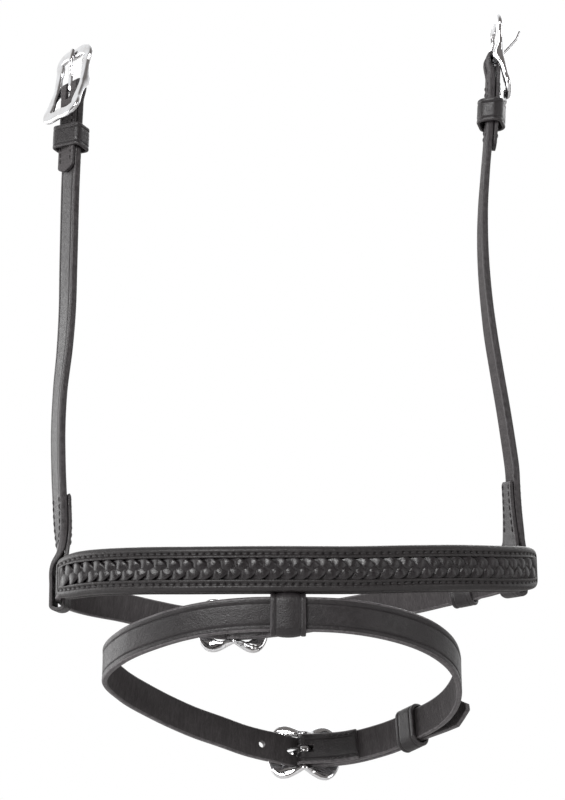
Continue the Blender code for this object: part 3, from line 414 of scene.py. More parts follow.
def chain(*parts):
    """The parts one after another, without doubled points."""
    found = []
    for part in parts:
        for item in part:
            if not found or (Vector(found[-1][:2]) - Vector(item[:2])).length >= GAP / 3:
                found.append(item)
    return found


def stations_of(points, thick=1.0):
    """Stations of full width; a station is distance, rise, width share and thickness share."""
    return [(s, n, 1.0, thick) for s, n in points]


def thinning(points, thin):
    last = len(points) - 1
    return [(s, n, 1.0, 1.0 + (thin - 1.0) * index / last) for index, (s, n) in enumerate(points)]


# ---- meshes ------------------------------------------------------------------------------------

def link_object(name, data):
    thing = bpy.data.objects.new(name, data)
    bpy.context.scene.collection.objects.link(thing)
    return thing


def build_mesh(name, vertices, faces, materials, zones=None, lays=None, sharp=SHARP_DEG):
    """A piece from plain lists; lays holds each vertex's distance along and across, for the UVs."""
    mesh = bpy.data.meshes.new(name)
    mesh.from_pydata([tuple(vertex) for vertex in vertices], [], faces)
    for material in materials:
        mesh.materials.append(material)
    if zones:
        mesh.polygons.foreach_set("material_index", zones)
    if lays:
        layer_map = mesh.uv_layers.new(name="lay")
        for loop in mesh.loops:
            layer_map.data[loop.index].uv = lays[loop.vertex_index]
    mesh.calc_loop_triangles()
    volume = 0.0
    for triangle in mesh.loop_triangles:
        a, b, c = [mesh.vertices[index].co for index in triangle.vertices]
        volume += a.dot(b.cross(c))
    if volume < 0.0:
        mesh.flip_normals()
    mesh.shade_smooth()
    mesh.set_sharp_from_angle(angle=math.radians(sharp))
    return link_object(name, mesh)


def wrapped(rings, size, closed=False, base=0):
    """Faces between rings of vertices, and the two caps of an open row."""
    faces = []
    for index in range(rings if closed else rings - 1):
        low = base + index * size
        after = base + ((index + 1) % rings) * size
        for k in range(size):
            m = (k + 1) % size
            faces.append((low + k, low + m, after + m, after + k))
    if not closed:
        faces.append(tuple(base + k for k in reversed(range(size))))
        faces.append(tuple(base + (rings - 1) * size + k for k in range(size)))
    return faces


def swept(name, points, widths, profile, closed, materials, scales=None, laid=True, sharp=SHARP_DEG):
    """A profile carried along points; it is a list of (across, out, zone of the face to the next point)."""
    total = len(points)
    vertices = []
    lays = []
    travelled = 0.0
    around = [0.0]
    for k in range(1, len(profile)):
        around.append(around[-1] + math.dist(profile[k][:2], profile[k - 1][:2]))
    for index in range(total):
        if closed:
            along = points[(index + 1) % total] - points[index - 1]
        else:
            along = points[min(index + 1, total - 1)] - points[max(index - 1, 0)]
        along.normalize()
        out = along.cross(widths[index]).normalized()
        across = out.cross(along).normalized()
        if index:
            travelled += (points[index] - points[index - 1]).length
        wide, thick = scales[index] if scales else (1.0, 1.0)
        for k, item in enumerate(profile):
            vertices.append(points[index] + across * (item[0] * wide) + out * (item[1] * thick))
            lays.append((travelled, around[k]))
    zones = [item[2] for item in profile] * (total if closed else total - 1)
    if not closed:
        zones += [EDGE, EDGE]
    if len(materials) == 1:
        zones = None
    return build_mesh(name, vertices, wrapped(total, len(profile), closed), materials, zones,
                      lays if laid else None, sharp)


def strap_profile(width, thickness, crease, crease_depth=CREASE_DEPTH, grain_up=True, crown=0.0):
    """A strap's section: creased grain side, rounded edges and flat flesh side."""
    half = width / 2
    n = thickness / 2
    curve = min(EDGE_ROUND, n * 0.9)
    low_curve = curve * 0.7
    left_groove, right_groove = [[(sign * (half - crease) + offset * CREASE_HALF, n + crease_depth * depth)
                                  for offset, depth in CREASE_FORM] for sign in (-1.0, 1.0)]
    grain = [(-half + curve, n)] + left_groove
    grain += [(-half * 0.3, n + crown), (0.0, n + crown * 1.3), (half * 0.3, n + crown)] + right_groove
    side = []
    for step in range(1, 4):
        angle = math.pi / 2 * step / 4
        side.append((half - curve + curve * math.sin(angle), n - curve + curve * math.cos(angle)))
    for step in range(4):
        angle = math.pi / 2 * step / 3
        side.append((half - low_curve + low_curve * math.cos(angle),
                     -n + low_curve - low_curve * math.sin(angle)))
    section = [(w, h, GRAIN) for w, h in grain]
    section += [(w, h, EDGE) for w, h in [(half - curve, n)] + side[:-1]]
    section += [(w, h, FLESH) for w, h in (side[-1], (half * 0.5, -n), (0.0, -n), (-half * 0.5, -n))]
    section += [(-w, h, EDGE) for w, h in reversed(side)]
    return section if grain_up else [(w, -h, zone) for w, h, zone in section]


def rounded_profile(half_width, half_thickness, across_power, out_power, sides):
    """A section between an oval and a box; the lower a power, the squarer it is."""
    found = []
    for angle in turns(sides):
        c, s = math.cos(angle), math.sin(angle)
        found.append((math.copysign(abs(c) ** across_power, c) * half_width,
                      math.copysign(abs(s) ** out_power, s) * half_thickness, GRAIN))
    return found


def strap(name, course, stations, width, thickness, crease, materials, grain_up=True, depth=CREASE_DEPTH):
    """A strap laid on a course."""
    spots = [course.spot(station[0], station[1]) for station in stations]
    profile = strap_profile(width, thickness, crease, depth, grain_up)
    return swept(name, [spot[0] for spot in spots], [spot[1] for spot in spots], profile, False, materials,
                 [station[2:] for station in stations])


def cut(target, vertices, faces, operation='DIFFERENCE'):
    """Apply a Boolean with a throwaway cutter."""
    cutter = build_mesh("cutter_form", vertices, faces, [target.data.materials[-1]])
    modifier = target.modifiers.new("cut", 'BOOLEAN')
    modifier.operation = operation
    modifier.solver = 'EXACT'
    modifier.object = cutter
    graph = bpy.context.evaluated_depsgraph_get()
    mesh = bpy.data.meshes.new_from_object(target.evaluated_get(graph))
    target.modifiers.clear()
    old = target.data
    target.data = mesh
    mesh.name = old.name
    bpy.data.meshes.remove(old)
    bpy.data.objects.remove(cutter, do_unlink=True)
    mesh.set_sharp_from_angle(angle=math.radians(SHARP_DEG))


def pierce(target, place, outline, half_depth):
    """Cut a straight hole with that outline, from half_depth above the place to as far below it."""
    vertices = [place @ Vector((u, w, n)) for n in (-half_depth, half_depth) for u, w in outline]
    cut(target, vertices, wrapped(2, len(outline)))


def oval(length, width):
    return [(math.cos(angle) * length / 2, math.sin(angle) * width / 2) for angle in turns(24)]


def slot(low, high):
    """The outline of a tongue's slot."""
    half = TONGUE_WIDTH / 2 + SLOT_CLEARANCE
    return [(low, -half), (high, -half), (high, half), (low, half)]


class Heap:
    """Many small closed bodies gathered into one mesh."""

    def __init__(self):
        self.vertices = []
        self.faces = []

    def tube(self, points, radii, up, flat=1.0, sides=8):
        total = len(points)
        self.faces += wrapped(total, sides, base=len(self.vertices))
        for index, point in enumerate(points):
            along = (points[min(index + 1, total - 1)] - points[max(index - 1, 0)]).normalized()
            across = along.cross(up).normalized()
            over = across.cross(along).normalized()
            radius = radii[index]
            for angle in turns(sides):
                self.vertices.append(point + across * (radius * math.cos(angle))
                                     + over * (radius * flat * math.sin(angle)))

    def sew(self, spots, slant):
        """Stitches along (point, up) spots; each fills most of a pitch and may lean sideways."""
        for (first, up), (second, other) in zip(spots, spots[1:]):
            way = second - first
            aside = way.cross(up).normalized() * slant
            start = first + way * 0.12 + aside
            span = second - way * 0.12 - aside - start
            up = (up + other).normalized()
            self.tube([start + span * t + up * (STITCH_LIFT * height) for t, height, wide in STITCH_FORM],
                      [THREAD_RADIUS * wide for t, height, wide in STITCH_FORM], up, 0.85)

    def make(self, name):
        return build_mesh(name, self.vertices, self.faces, [black_thread], sharp=60.0)


def sewn_rows(name, course, half_row, runs):
    """A row of stitches at each side; a run is where it starts and ends, and each face's (rise, facing)."""
    heap = Heap()
    for sideways in (-half_row, half_row):
        for first, last, faces in runs:
            count = max(2, round(abs(last - first) / STITCH_PITCH))
            for rise, facing in faces:
                spots = []
                for index in range(count + 1):
                    spot, _, out = course.spot(first + (last - first) * index / count, rise, sideways)
                    spots.append((spot, out * facing))
                heap.sew(spots, SEAM_SLANT)
    return heap.make(name)


# ---- materials ---------------------------------------------------------------------------------

def add_node(tree, kind, **values):
    """A node; sockets are linked to the inputs named, other values set on the node or its inputs."""
    made = tree.nodes.new("ShaderNode" + kind)
    for key, value in values.items():
        if isinstance(value, bpy.types.NodeSocket):
            tree.links.new(value, made.inputs[key.replace("_", " ")])
        elif hasattr(made, key) and not key[0].isupper():
            setattr(made, key, value)
        else:
            made.inputs[key.replace("_", " ")].default_value = value
    return made


def fill(tree, sockets, values):
    for socket, value in zip(sockets, values):
        if isinstance(value, bpy.types.NodeSocket):
            tree.links.new(value, socket)
        else:
            socket.default_value = value


def maths(tree, operation, first, second):
    made = add_node(tree, "Math", operation=operation)
    fill(tree, made.inputs, (first, second))
    return made.outputs[0]


class Shade:
    """A node material built in few words; constant values go on the shader itself."""

    def __init__(self, name, colour, roughness, metallic=0.0, specular=0.5):
        self.material = bpy.data.materials.new(name)
        self.material.use_nodes = True
        self.tree = self.material.node_tree
        self.shader = self.tree.nodes["Principled BSDF"]
        for key, value in (("Base Color", (*colour, 1.0)), ("Roughness", roughness), ("Metallic", metallic),
                           ("Specular IOR Level", specular)):
            self.shader.inputs[key].default_value = value
        self.material.diffuse_color = (*colour, 1.0)
        self.place = add_node(self.tree, "TexCoord").outputs["Object"]
        self.lay = add_node(self.tree, "UVMap", uv_map="lay").outputs[0]

    def noise(self, source, scale, detail=3.0, roughness=0.55, distortion=0.0):
        """Noise at a place; a scale of three numbers stretches it."""
        if isinstance(scale, tuple):
            source, scale = self.stretched(source, scale), 1.0
        return add_node(self.tree, "TexNoise", Vector=source, Scale=scale, Detail=detail, Roughness=roughness,
                        Distortion=distortion).outputs["Fac"]

    def stretched(self, source, scale):
        return add_node(self.tree, "Mapping", Vector=source, Scale=scale).outputs[0]

    def span(self, value, low, high, first, second):
        return add_node(self.tree, "MapRange", Value=value, From_Min=low, From_Max=high, To_Min=first,
                        To_Max=second).outputs[0]

    def product(self, first, second):
        return maths(self.tree, 'MULTIPLY', first, second)

    def coloured(self, share, first, second):
        made = add_node(self.tree, "Mix", data_type='RGBA')
        fill(self.tree, (made.inputs[0], *made.inputs[6:8]), (share, (*first, 1.0), (*second, 1.0)))
        self.tree.links.new(made.outputs[2], self.shader.inputs["Base Color"])

    def rough(self, value, low, high, first, second):
        self.tree.links.new(self.span(value, low, high, first, second), self.shader.inputs["Roughness"])

    def raised(self, *heights):
        """Chained bumps, each a height socket with its depth in metres; the finished material."""
        normal = None
        for height, depth in heights:
            made = add_node(self.tree, "Bump", Height=height, Strength=1.0, Distance=depth)
            if normal:
                self.tree.links.new(normal, made.inputs["Normal"])
            normal = made.outputs[0]
        self.tree.links.new(normal, self.shader.inputs["Normal"])
        return self.material


def grain_leather(name, dark, light, roughness, pore=1500.0, depth=0.00007, specular=0.45, worn=0.5):
    shade = Shade(name, dark, roughness, specular=specular)
    mottle = shade.noise(shade.place, 55.0, 4.0, 0.6)
    scuffs = shade.noise(shade.place, 420.0, 5.0, 0.7, 0.6)
    share = shade.product(shade.span(mottle, 0.35, 0.7, 0.0, 1.0), shade.span(scuffs, 0.42, 0.68, 0.2, 1.0))
    shade.coloured(share, dark, light)
    shade.rough(scuffs, 0.3, 0.7, roughness - 0.09, roughness + 0.11)
    pebbles = add_node(shade.tree, "TexVoronoi", feature='SMOOTH_F1', Vector=shade.place, Scale=pore,
                       Smoothness=0.6).outputs["Distance"]
    wrinkles = shade.noise(shade.stretched(shade.place, (1.0, 1.0, 1.4)), 700.0, 6.0, 0.62, 0.4)
    swell = shade.noise(shade.place, 130.0, 2.0, 0.5)
    return shade.raised((swell, 0.0005 * worn), (wrinkles, depth * 2.2), (pebbles, depth))


def flesh_leather(name, dark, light):
    shade = Shade(name, dark, 0.82, specular=0.3)
    fibres = shade.noise(shade.lay, (2600.0, 320.0, 1.0), 5.0, 0.7, 0.5)
    streaks = shade.noise(shade.lay, (420.0, 60.0, 1.0), 4.0, 0.65)
    share = shade.product(shade.span(fibres, 0.35, 0.7, 0.15, 1.0), shade.span(streaks, 0.3, 0.7, 0.35, 1.0))
    shade.coloured(share, dark, light)
    shade.rough(fibres, 0.3, 0.7, 0.68, 0.92)
    return shade.raised((streaks, 0.0005), (fibres, 0.00035))


def cut_edge(name, dark, light):
    shade = Shade(name, dark, 0.42, specular=0.5)
    layers = shade.noise(shade.lay, (60.0, 2400.0, 1.0), 4.0, 0.6)
    scuffs = shade.noise(shade.place, 500.0, 4.0, 0.6)
    shade.coloured(shade.span(shade.product(layers, scuffs), 0.15, 0.45, 0.0, 1.0), dark, light)
    shade.rough(scuffs, 0.3, 0.7, 0.34, 0.58)
    return shade.raised((layers, 0.00012), (scuffs, 0.00014))


def waxed_thread(name, dark, light):
    shade = Shade(name, dark, 0.5, specular=0.5)
    ply = shade.noise(shade.place, 3800.0, 3.0, 0.6)
    shade.coloured(shade.span(ply, 0.35, 0.65, 0.0, 1.0), dark, light)
    shade.rough(ply, 0.3, 0.7, 0.42, 0.62)
    return shade.raised((ply, 0.00012))


def plated_metal(name, bright, dull, roughness):
    shade = Shade(name, bright, roughness, metallic=1.0)
    haze = shade.noise(shade.place, 260.0, 4.0, 0.6)
    scratches = shade.noise(shade.place, (900.0, 5200.0, 700.0), 3.0, 0.6)
    shade.coloured(shade.span(haze, 0.35, 0.7, 0.0, 1.0), bright, dull)
    shade.rough(shade.product(haze, scratches), 0.15, 0.4, roughness * 0.7, roughness * 1.9)
    waves = shade.noise(shade.place, 190.0, 2.0, 0.5)
    return shade.raised((waves, 0.00022), (scratches, 0.000006))


black_grain = grain_leather("black_grain", (0.0135, 0.0115, 0.0125), (0.030, 0.026, 0.028), 0.42)
nose_grain = grain_leather("nose_grain", (0.0140, 0.0120, 0.0125), (0.030, 0.026, 0.027), 0.40, 1300.0,
                           0.00008)
lace_grain = grain_leather("lace_grain", (0.0125, 0.0105, 0.0115), (0.026, 0.022, 0.024), 0.30, 1900.0,
                           0.00005, worn=0.3)
soft_lining = grain_leather("soft_lining", (0.0150, 0.0125, 0.0130), (0.032, 0.027, 0.028), 0.52, 1000.0,
                            0.00012, specular=0.35, worn=0.8)
black_flesh = flesh_leather("black_flesh", (0.030, 0.027, 0.028), (0.105, 0.097, 0.100))
black_edge = cut_edge("black_edge", (0.016, 0.0135, 0.0145), (0.075, 0.068, 0.072))
pale_edge = cut_edge("pale_edge", (0.045, 0.040, 0.043), (0.17, 0.16, 0.165))
black_thread = waxed_thread("black_thread", (0.010, 0.008, 0.009), (0.030, 0.025, 0.027))
bright_chrome = plated_metal("bright_chrome", (0.80, 0.81, 0.83), (0.66, 0.65, 0.65), 0.07)
STRAP_MATERIALS = [black_grain, black_flesh, black_edge]
RING_MATERIALS = [black_grain, black_flesh, pale_edge]


# ---- nosepiece ---------------------------------------------------------------------------------

ring_degrees = list(np.arange(-336.0, 126.1, 0.5))
ring = Course([ring_point(value) for value in ring_degrees], [Z_AXIS] * len(ring_degrees))
ring.along = ring.along - float(np.interp(-90.0, ring_degrees, ring.along))
NOSE_LEFT = ring_distance(NOSE_LEFT_DEG)
NOSE_RIGHT = ring_distance(NOSE_RIGHT_DEG)
SEAM_INSET = NOSE_HEIGHT / 2 - STITCH_ROW
SEAM_RUN = NOSE_RIGHT - NOSE_LEFT - 2 * SEAM_INSET
SEAM_COUNT = round(SEAM_RUN / STITCH_PITCH)
STITCH_SPACING = SEAM_RUN / SEAM_COUNT


def end_gap(distance):
    return min(distance - NOSE_LEFT, NOSE_RIGHT - distance)


def nose_share(distance):
    """Share of the nosepiece's full height, which narrows to its ends."""
    inside = min(max(end_gap(distance) / NOSE_TAPER, 0.0), 1.0)
    return (NOSE_END_HEIGHT + (NOSE_HEIGHT - NOSE_END_HEIGHT) * (1 - (1 - inside) ** 2)) / NOSE_HEIGHT


def inset_of(distance, across, half, margin=0.0, corner=NOSE_CORNER):
    """How far a place on the nosepiece is inside an outline."""
    half_run = (NOSE_RIGHT - NOSE_LEFT) / 2 - margin
    a = abs(distance - (NOSE_LEFT + NOSE_RIGHT) / 2) - (half_run - corner)
    b = abs(across) - (half - corner)
    return corner - math.hypot(max(a, 0.0), max(b, 0.0)) - min(max(a, b), 0.0)


def nose_rise(distance, across):
    """Height of the outer leather's face over the ring's middle layer."""
    inside = max(inset_of(distance, across, NOSE_HEIGHT / 2 * nose_share(distance)), 0.0)
    rise = NOSE_THICKNESS / 2
    if inside < NOSE_ROLL:
        short = NOSE_ROLL - inside
        rise -= (NOSE_ROLL - math.sqrt(max(NOSE_ROLL ** 2 - short ** 2, 0.0))) * 0.86
    pit = (0.5 + 0.5 * math.cos(math.tau * (distance - NOSE_LEFT - SEAM_INSET) / STITCH_SPACING)) ** 5
    rise -= NOSE_SEAM_DEPTH * bump(inside, SEAM_INSET, 0.00070)
    rise -= NOSE_PIT_DEPTH * pit * bump(inside, SEAM_INSET, 0.00050)
    rise += RIDGE_RISE * bump(inside, NOSE_HEIGHT / 2 - RIDGE, 0.00075)
    rise += 0.00016 * bump(inside, 0.0024, 0.0010)
    window = inset_of(distance, across, WINDOW_HEIGHT / 2, WINDOW_INSET, 0.0015)
    return rise + (FRONT_INNER + GAP - rise) * soft_step(window, -0.0001, 0.0006)


def nose_half(distance):
    """Half the nosepiece's height at a distance along it, less at its rounded ends."""
    half = NOSE_HEIGHT / 2 * nose_share(distance)
    short = NOSE_CORNER - max(end_gap(distance), 0.0)
    if short <= 0.0:
        return half
    return half - NOSE_CORNER + math.sqrt(max(NOSE_CORNER ** 2 - short ** 2, 0.0))


def build_nose_leather():
    lanes = [-share for share in reversed(NOSE_LANES)] + list(NOSE_LANES[1:])
    distances = []
    value = NOSE_LEFT
    while value < NOSE_RIGHT:
        distances.append(value)
        gap = end_gap(value)
        value += 0.00018 if gap < 0.0012 else 0.00028 if gap < 0.011 else 0.0004
    distances.append(NOSE_RIGHT)
    vertices = []
    lays = []
    for distance in distances:
        _, across, out = ring.axes(distance)
        base = ring.point(distance)
        half = nose_half(distance)
        for w in [lane * half for lane in lanes]:
            vertices.append(base + across * w + out * nose_rise(distance, w))
            lays.append((distance, w))
        for lane in (1.0, -1.0):
            vertices.append(base + across * (lane * (half - GAP * 2)) + out * FRONT_INNER)
            lays.append((distance, lane * half))
    faces = wrapped(len(distances), len(lanes) + 2)
    return build_mesh("nosepiece_leather", vertices, faces, [nose_grain], lays=lays, sharp=60.0)


def build_nose_stitches():
    """Two long rows and one across each end; a stitch hole is distance, share of the row and of its rise."""
    rows = [[(NOSE_LEFT + SEAM_INSET + STITCH_SPACING * index, side, 1.0) for index in range(SEAM_COUNT + 1)]
            for side in (-1.0, 1.0)]
    rows += [[(end, index / 2 - 1, 0.98) for index in range(5)]
             for end in (NOSE_LEFT + SEAM_INSET, NOSE_RIGHT - SEAM_INSET)]
    heap = Heap()
    for row in rows:
        spots = []
        for distance, share, risen in row:
            w = (STITCH_ROW - NOSE_HEIGHT / 2 * (1 - nose_share(distance))) * share
            spot, _, out = ring.spot(distance, nose_rise(distance, w * risen), w)
            spots.append((spot, out))
        heap.sew(spots, NOSE_SLANT)
    return heap.make("nosepiece_stitching")


def build_lace(index):
    """One of the three laces; it is seen where it runs from an edge to the middle."""
    first = NOSE_LEFT + WINDOW_INSET - LACE_STEP
    last = NOSE_RIGHT - WINDOW_INSET + LACE_STEP
    count = round((last - first) / LACE_STEP)
    spots = []
    for step in range(count + 1):
        distance = first + (last - first) * step / count
        phase = math.tau * (distance / PLAIT_PERIOD - index / 3)
        rise = NOSE_THICKNESS / 2 - 0.0008 - LACE_LIFT * math.sin(2 * phase)
        spots.append(ring.spot(distance, rise, LACE_REACH * math.sin(phase)))
    points = [spot[0] for spot in spots]
    widths = []
    for step, spot in enumerate(spots):
        along = (points[min(step + 1, count)] - points[max(step - 1, 0)]).normalized()
        widths.append(spot[2].cross(along).normalized())
    profile = rounded_profile(LACE_HALF_WIDTH, LACE_HALF_THICKNESS, 0.75, 0.8, 16)
    return swept("plait_lace_" + "abc"[index], points, widths, profile, False, [lace_grain], sharp=70.0)


def build_lining():
    """The padded lining behind the nosepiece, soft and rounded, narrowing to its ends."""
    top = FRONT_INNER - GAP
    base = -NOSE_THICKNESS / 2 - 0.0002
    distances = list(np.arange(NOSE_LEFT, NOSE_RIGHT, 0.0011)) + [NOSE_RIGHT]
    scales = []
    for distance in distances:
        wide = NOSE_HEIGHT / 2 * nose_share(distance) + 0.0004
        thick = (top - base) / 2
        gap = end_gap(distance)
        if gap < PAD_ROUNDING:
            rounded = math.sqrt(max(1 - (1 - gap / PAD_ROUNDING) ** 2, 0.02))
            wide *= 0.72 + 0.28 * rounded
            thick *= 0.45 + 0.55 * rounded
        scales.append((wide, thick))
    spots = [ring.spot(distance, (top + base) / 2) for distance in distances]
    return swept("nosepiece_pad", [spot[0] for spot in spots], [spot[1] for spot in spots],
                 rounded_profile(1.0, 1.0, 0.42, 0.72, 36), False, [soft_lining], scales, sharp=70.0)


nose_leather = build_nose_leather()
nose_stitches = build_nose_stitches()
laces = [build_lace(index) for index in range(3)]
pad = build_lining()


# ---- buckles and keepers -----------------------------------------------------------------------

def build_frame(name, place, size, form, flare):
    """A chrome frame with its ends raised off its centre bar, in one casting."""
    length, width, rail = size
    shares, waist, slim, lug, dip, solid = form
    inset = rail * (FRAME_INSET - SOLID_INSET * solid)
    half_length = (length - inset) / 2
    half_width = (width - inset) / 2
    quarter = [(0.0, waist)] + [(u, waist + (1 - waist) * w if u < 0.5 else w) for u, w in shares]
    outline = quarter + [(dip, 0.0)] + [(u, -w) for u, w in reversed(quarter)]
    outline += [(-u, -w) for u, w in quarter[1:]] + [(-dip, 0.0)]
    outline += [(-u, w) for u, w in reversed(quarter[1:])]
    points = []
    scales = []
    for point in smooth_curve([Vector((u * half_length, w * half_width, 0.0)) for u, w in outline], 8, True):
        share = abs(point.x) / half_length
        boss = 1 - math.exp(-(share / BOSS_SPREAD_SHARE) ** 2)
        drop = flare * lug * (1 - boss)
        fuller = 1 + (FRAME_FULLNESS - SOLID_FULLNESS * solid) * soft_step(share, 0.30, 0.75)
        scales.append(((slim + (1 - slim) * boss) * fuller, 1.0 + solid * drop / RAIL_THICKNESS))
        rise = flare * ((1 - lug) * share ** 1.4 + lug) - drop * (1 - solid / 2)
        points.append(Vector((point.x, point.y, rise)))
    turn = place.to_3x3()
    widths = []
    for index in range(len(points)):
        along = points[(index + 1) % len(points)] - points[index - 1]
        widths.append(turn @ Vector((along.y, -along.x, 0.0)).normalized())
    profile = rounded_profile(rail / 2, RAIL_THICKNESS / 2, 0.62, 0.62, 20)
    thing = swept(name, [place @ point for point in points], widths, profile, True, [bright_chrome], scales,
                  False)
    heap = Heap()
    bar = [place @ Vector((0.0, half_width * waist * share, 0.0)) for share, wide in BAR_FORM]
    heap.tube(bar, [BAR_RADIUS * wide for share, wide in BAR_FORM], turn @ Z_AXIS, 1.0, 20)
    cut(thing, heap.vertices, heap.faces, 'UNION')
    return thing


def build_tongue(name, place, size, flare, overhang, shares):
    """A tongue wrapped round the bar and laid over the far end of the frame."""
    rail = size[2]
    half_length = (size[0] - rail) / 2
    eye = BAR_RADIUS + GAP + TONGUE_THICKNESS / 2
    rise = flare + RAIL_THICKNESS / 2 + GAP + TONGUE_THICKNESS / 2 - eye
    points = []
    for step in range(EYE_STEPS):
        angle = math.radians(EYE_START_DEG + EYE_STEP_DEG * step)
        points.append(Vector((eye * math.cos(angle), 0.0, eye * math.sin(angle))))
    knots = [Vector((0.0, 0.0, eye))] + [Vector((-u * half_length, 0.0, eye + n * rise)) for u, n in shares]
    knots.append(Vector((-(half_length + rail / 2 + overhang), 0.0, eye + rise)))
    points += smooth_curve(knots, 8, False)[2:]
    scales = []
    for index in range(len(points)):
        left = len(points) - 1 - index
        tip = min(1.0, 0.35 + 0.65 * math.sqrt(1 - (1 - min(left, 6) / 6) ** 2))
        past = max(index - 18, 0)
        scales.append(((1.12 - 0.2 * min(past / 30, 1.0)) * tip, (1.0 + 0.12 * min(past / 10, 1.0)) * tip))
    ways = [place.to_3x3() @ Vector((0.0, 1.0, 0.0))] * len(points)
    profile = rounded_profile(TONGUE_WIDTH / 2, TONGUE_THICKNESS / 2, 0.8, 0.8, 16)
    return swept(name, [place @ point for point in points], ways, profile, False, [bright_chrome], scales,
                 False)


def build_small_buckle(name, place, strap_width, own):
    """The frame and the tongue of the chin or flash strap's buckle."""
    width, rail = SMALL_SIZE[1:]
    waist = (strap_width / 2 + WAIST_CLEARANCE + rail * WAIST_RAIL_SHARE / 2) / ((width - rail) / 2)
    form = FRAME_OUTLINE_SHARES, waist, WAIST_RAIL_SHARE, BOSS_SHARE, 1.0, 0.0
    flare = own / 2 + GAP + own + RAIL_CLEARANCE + RAIL_THICKNESS / 2 - BAR_RISE
    return (build_frame(name + "_buckle", place, SMALL_SIZE, form, flare),
            build_tongue(name + "_tongue", place, SMALL_SIZE, flare, TONGUE_OVERHANG, PIN_SHARES))


def build_loop(name, points, ways, profile, middle):
    """A closed leather loop with its grain side out."""
    if (points[1] - points[0]).cross(ways[0]).dot(points[0] - middle) < 0.0:
        profile = [(w, -n, zone) for w, n, zone in profile]
    return swept(name, points, ways, profile, True, STRAP_MATERIALS)


def build_keeper(name, place, half_width, low, high, height, corner_share, slant, lean):
    """A leather keeper; place has N out of the ring, low and high are its inner faces along N."""
    w = half_width + KEEPER_WALL / 2
    n_low = low - KEEPER_WALL / 2
    n_high = high + KEEPER_WALL / 2
    half_depth = (n_high - n_low) / 2
    corner = max(min(KEEPER_WALL * 1.25, half_depth * 0.9), half_depth * corner_share)
    corners = []
    for cw, cn, start in ((w, n_high, 0.0), (-w, n_high, 90.0), (-w, n_low, 180.0), (w, n_low, 270.0)):
        centre = (cw - math.copysign(corner, cw), cn - corner if cn == n_high else cn + corner)
        for step in range(9):
            angle = math.radians(start + 11.25 * step)
            corners.append((centre[0] + corner * math.cos(angle), centre[1] + corner * math.sin(angle)))
    points = []
    for first, second in zip(corners, corners[1:] + corners[:1]):
        pieces = max(1, round(math.dist(first, second) / 0.0009))
        for step in range(pieces):
            a, b = [first[k] + (second[k] - first[k]) * step / pieces for k in (0, 1)]
            points.append(place @ Vector((slant * a + lean * (b - (n_high + n_low) / 2), a, b)))
    return build_loop(name, points, [place.to_3x3() @ X_AXIS] * len(points),
                      strap_profile(height, KEEPER_WALL, 0.0022, CREASE_DEPTH * 0.9), place.translation)


def build_runner(name, place, half_width, own, slant):
    return build_keeper(name, place, half_width + KEEPER_SIDE_EASE, -own / 2 - KEEPER_EASE,
                        own * 1.5 + GAP + KEEPER_EASE, KEEPER_HEIGHT, 0.95, slant, 0.05)


# ---- straps ------------------------------------------------------------------------------------

def billet_rise(own):
    """How far a billet is off the strap under it where it lies flat, and where it rides over the bar."""
    return own / 2 + GAP + own / 2, BAR_RISE + BAR_RADIUS + GAP + SKIVED + GAP + own / 2


def fold_stations(sign, bar_at, level, own):
    """The buckle end of a strap: in along the outside, round the bar, back along the inside."""
    reach = BAR_RADIUS + GAP + SKIVED / 2
    thin = SKIVED / own
    middle = (bar_at, level + BAR_RISE)
    inner = level - own / 2 - GAP - SKIVED / 2
    flat_from = bar_at + sign * SMALL_RUN * 0.6
    coming = thinning(ease((bar_at + sign * SMALL_RUN, level), (bar_at, middle[1] + reach)), thin)
    back = half_turn(middle, reach, -sign, 1.0) + ease((bar_at, middle[1] - reach), (flat_from, inner))
    back += straight((flat_from, inner), (bar_at + sign * (STITCHED_FOLD - 0.0015), inner))
    return chain(coming, stations_of(back, thin),
                 [(bar_at + sign * (STITCHED_FOLD - 0.0007), inner, 1.0, thin * 0.7),
                  (bar_at + sign * STITCHED_FOLD, inner, 0.98, thin * 0.35)])


def fold_seam(name, course, bar_at, sign, width, outer, inner):
    run = (bar_at + sign * FOLD_SEAM_START, bar_at + sign * (STITCHED_FOLD - 0.0015),
           ((outer, 1.0), (inner, -1.0)))
    return sewn_rows(name, course, width / 2 - CREASE_INSET, [run])


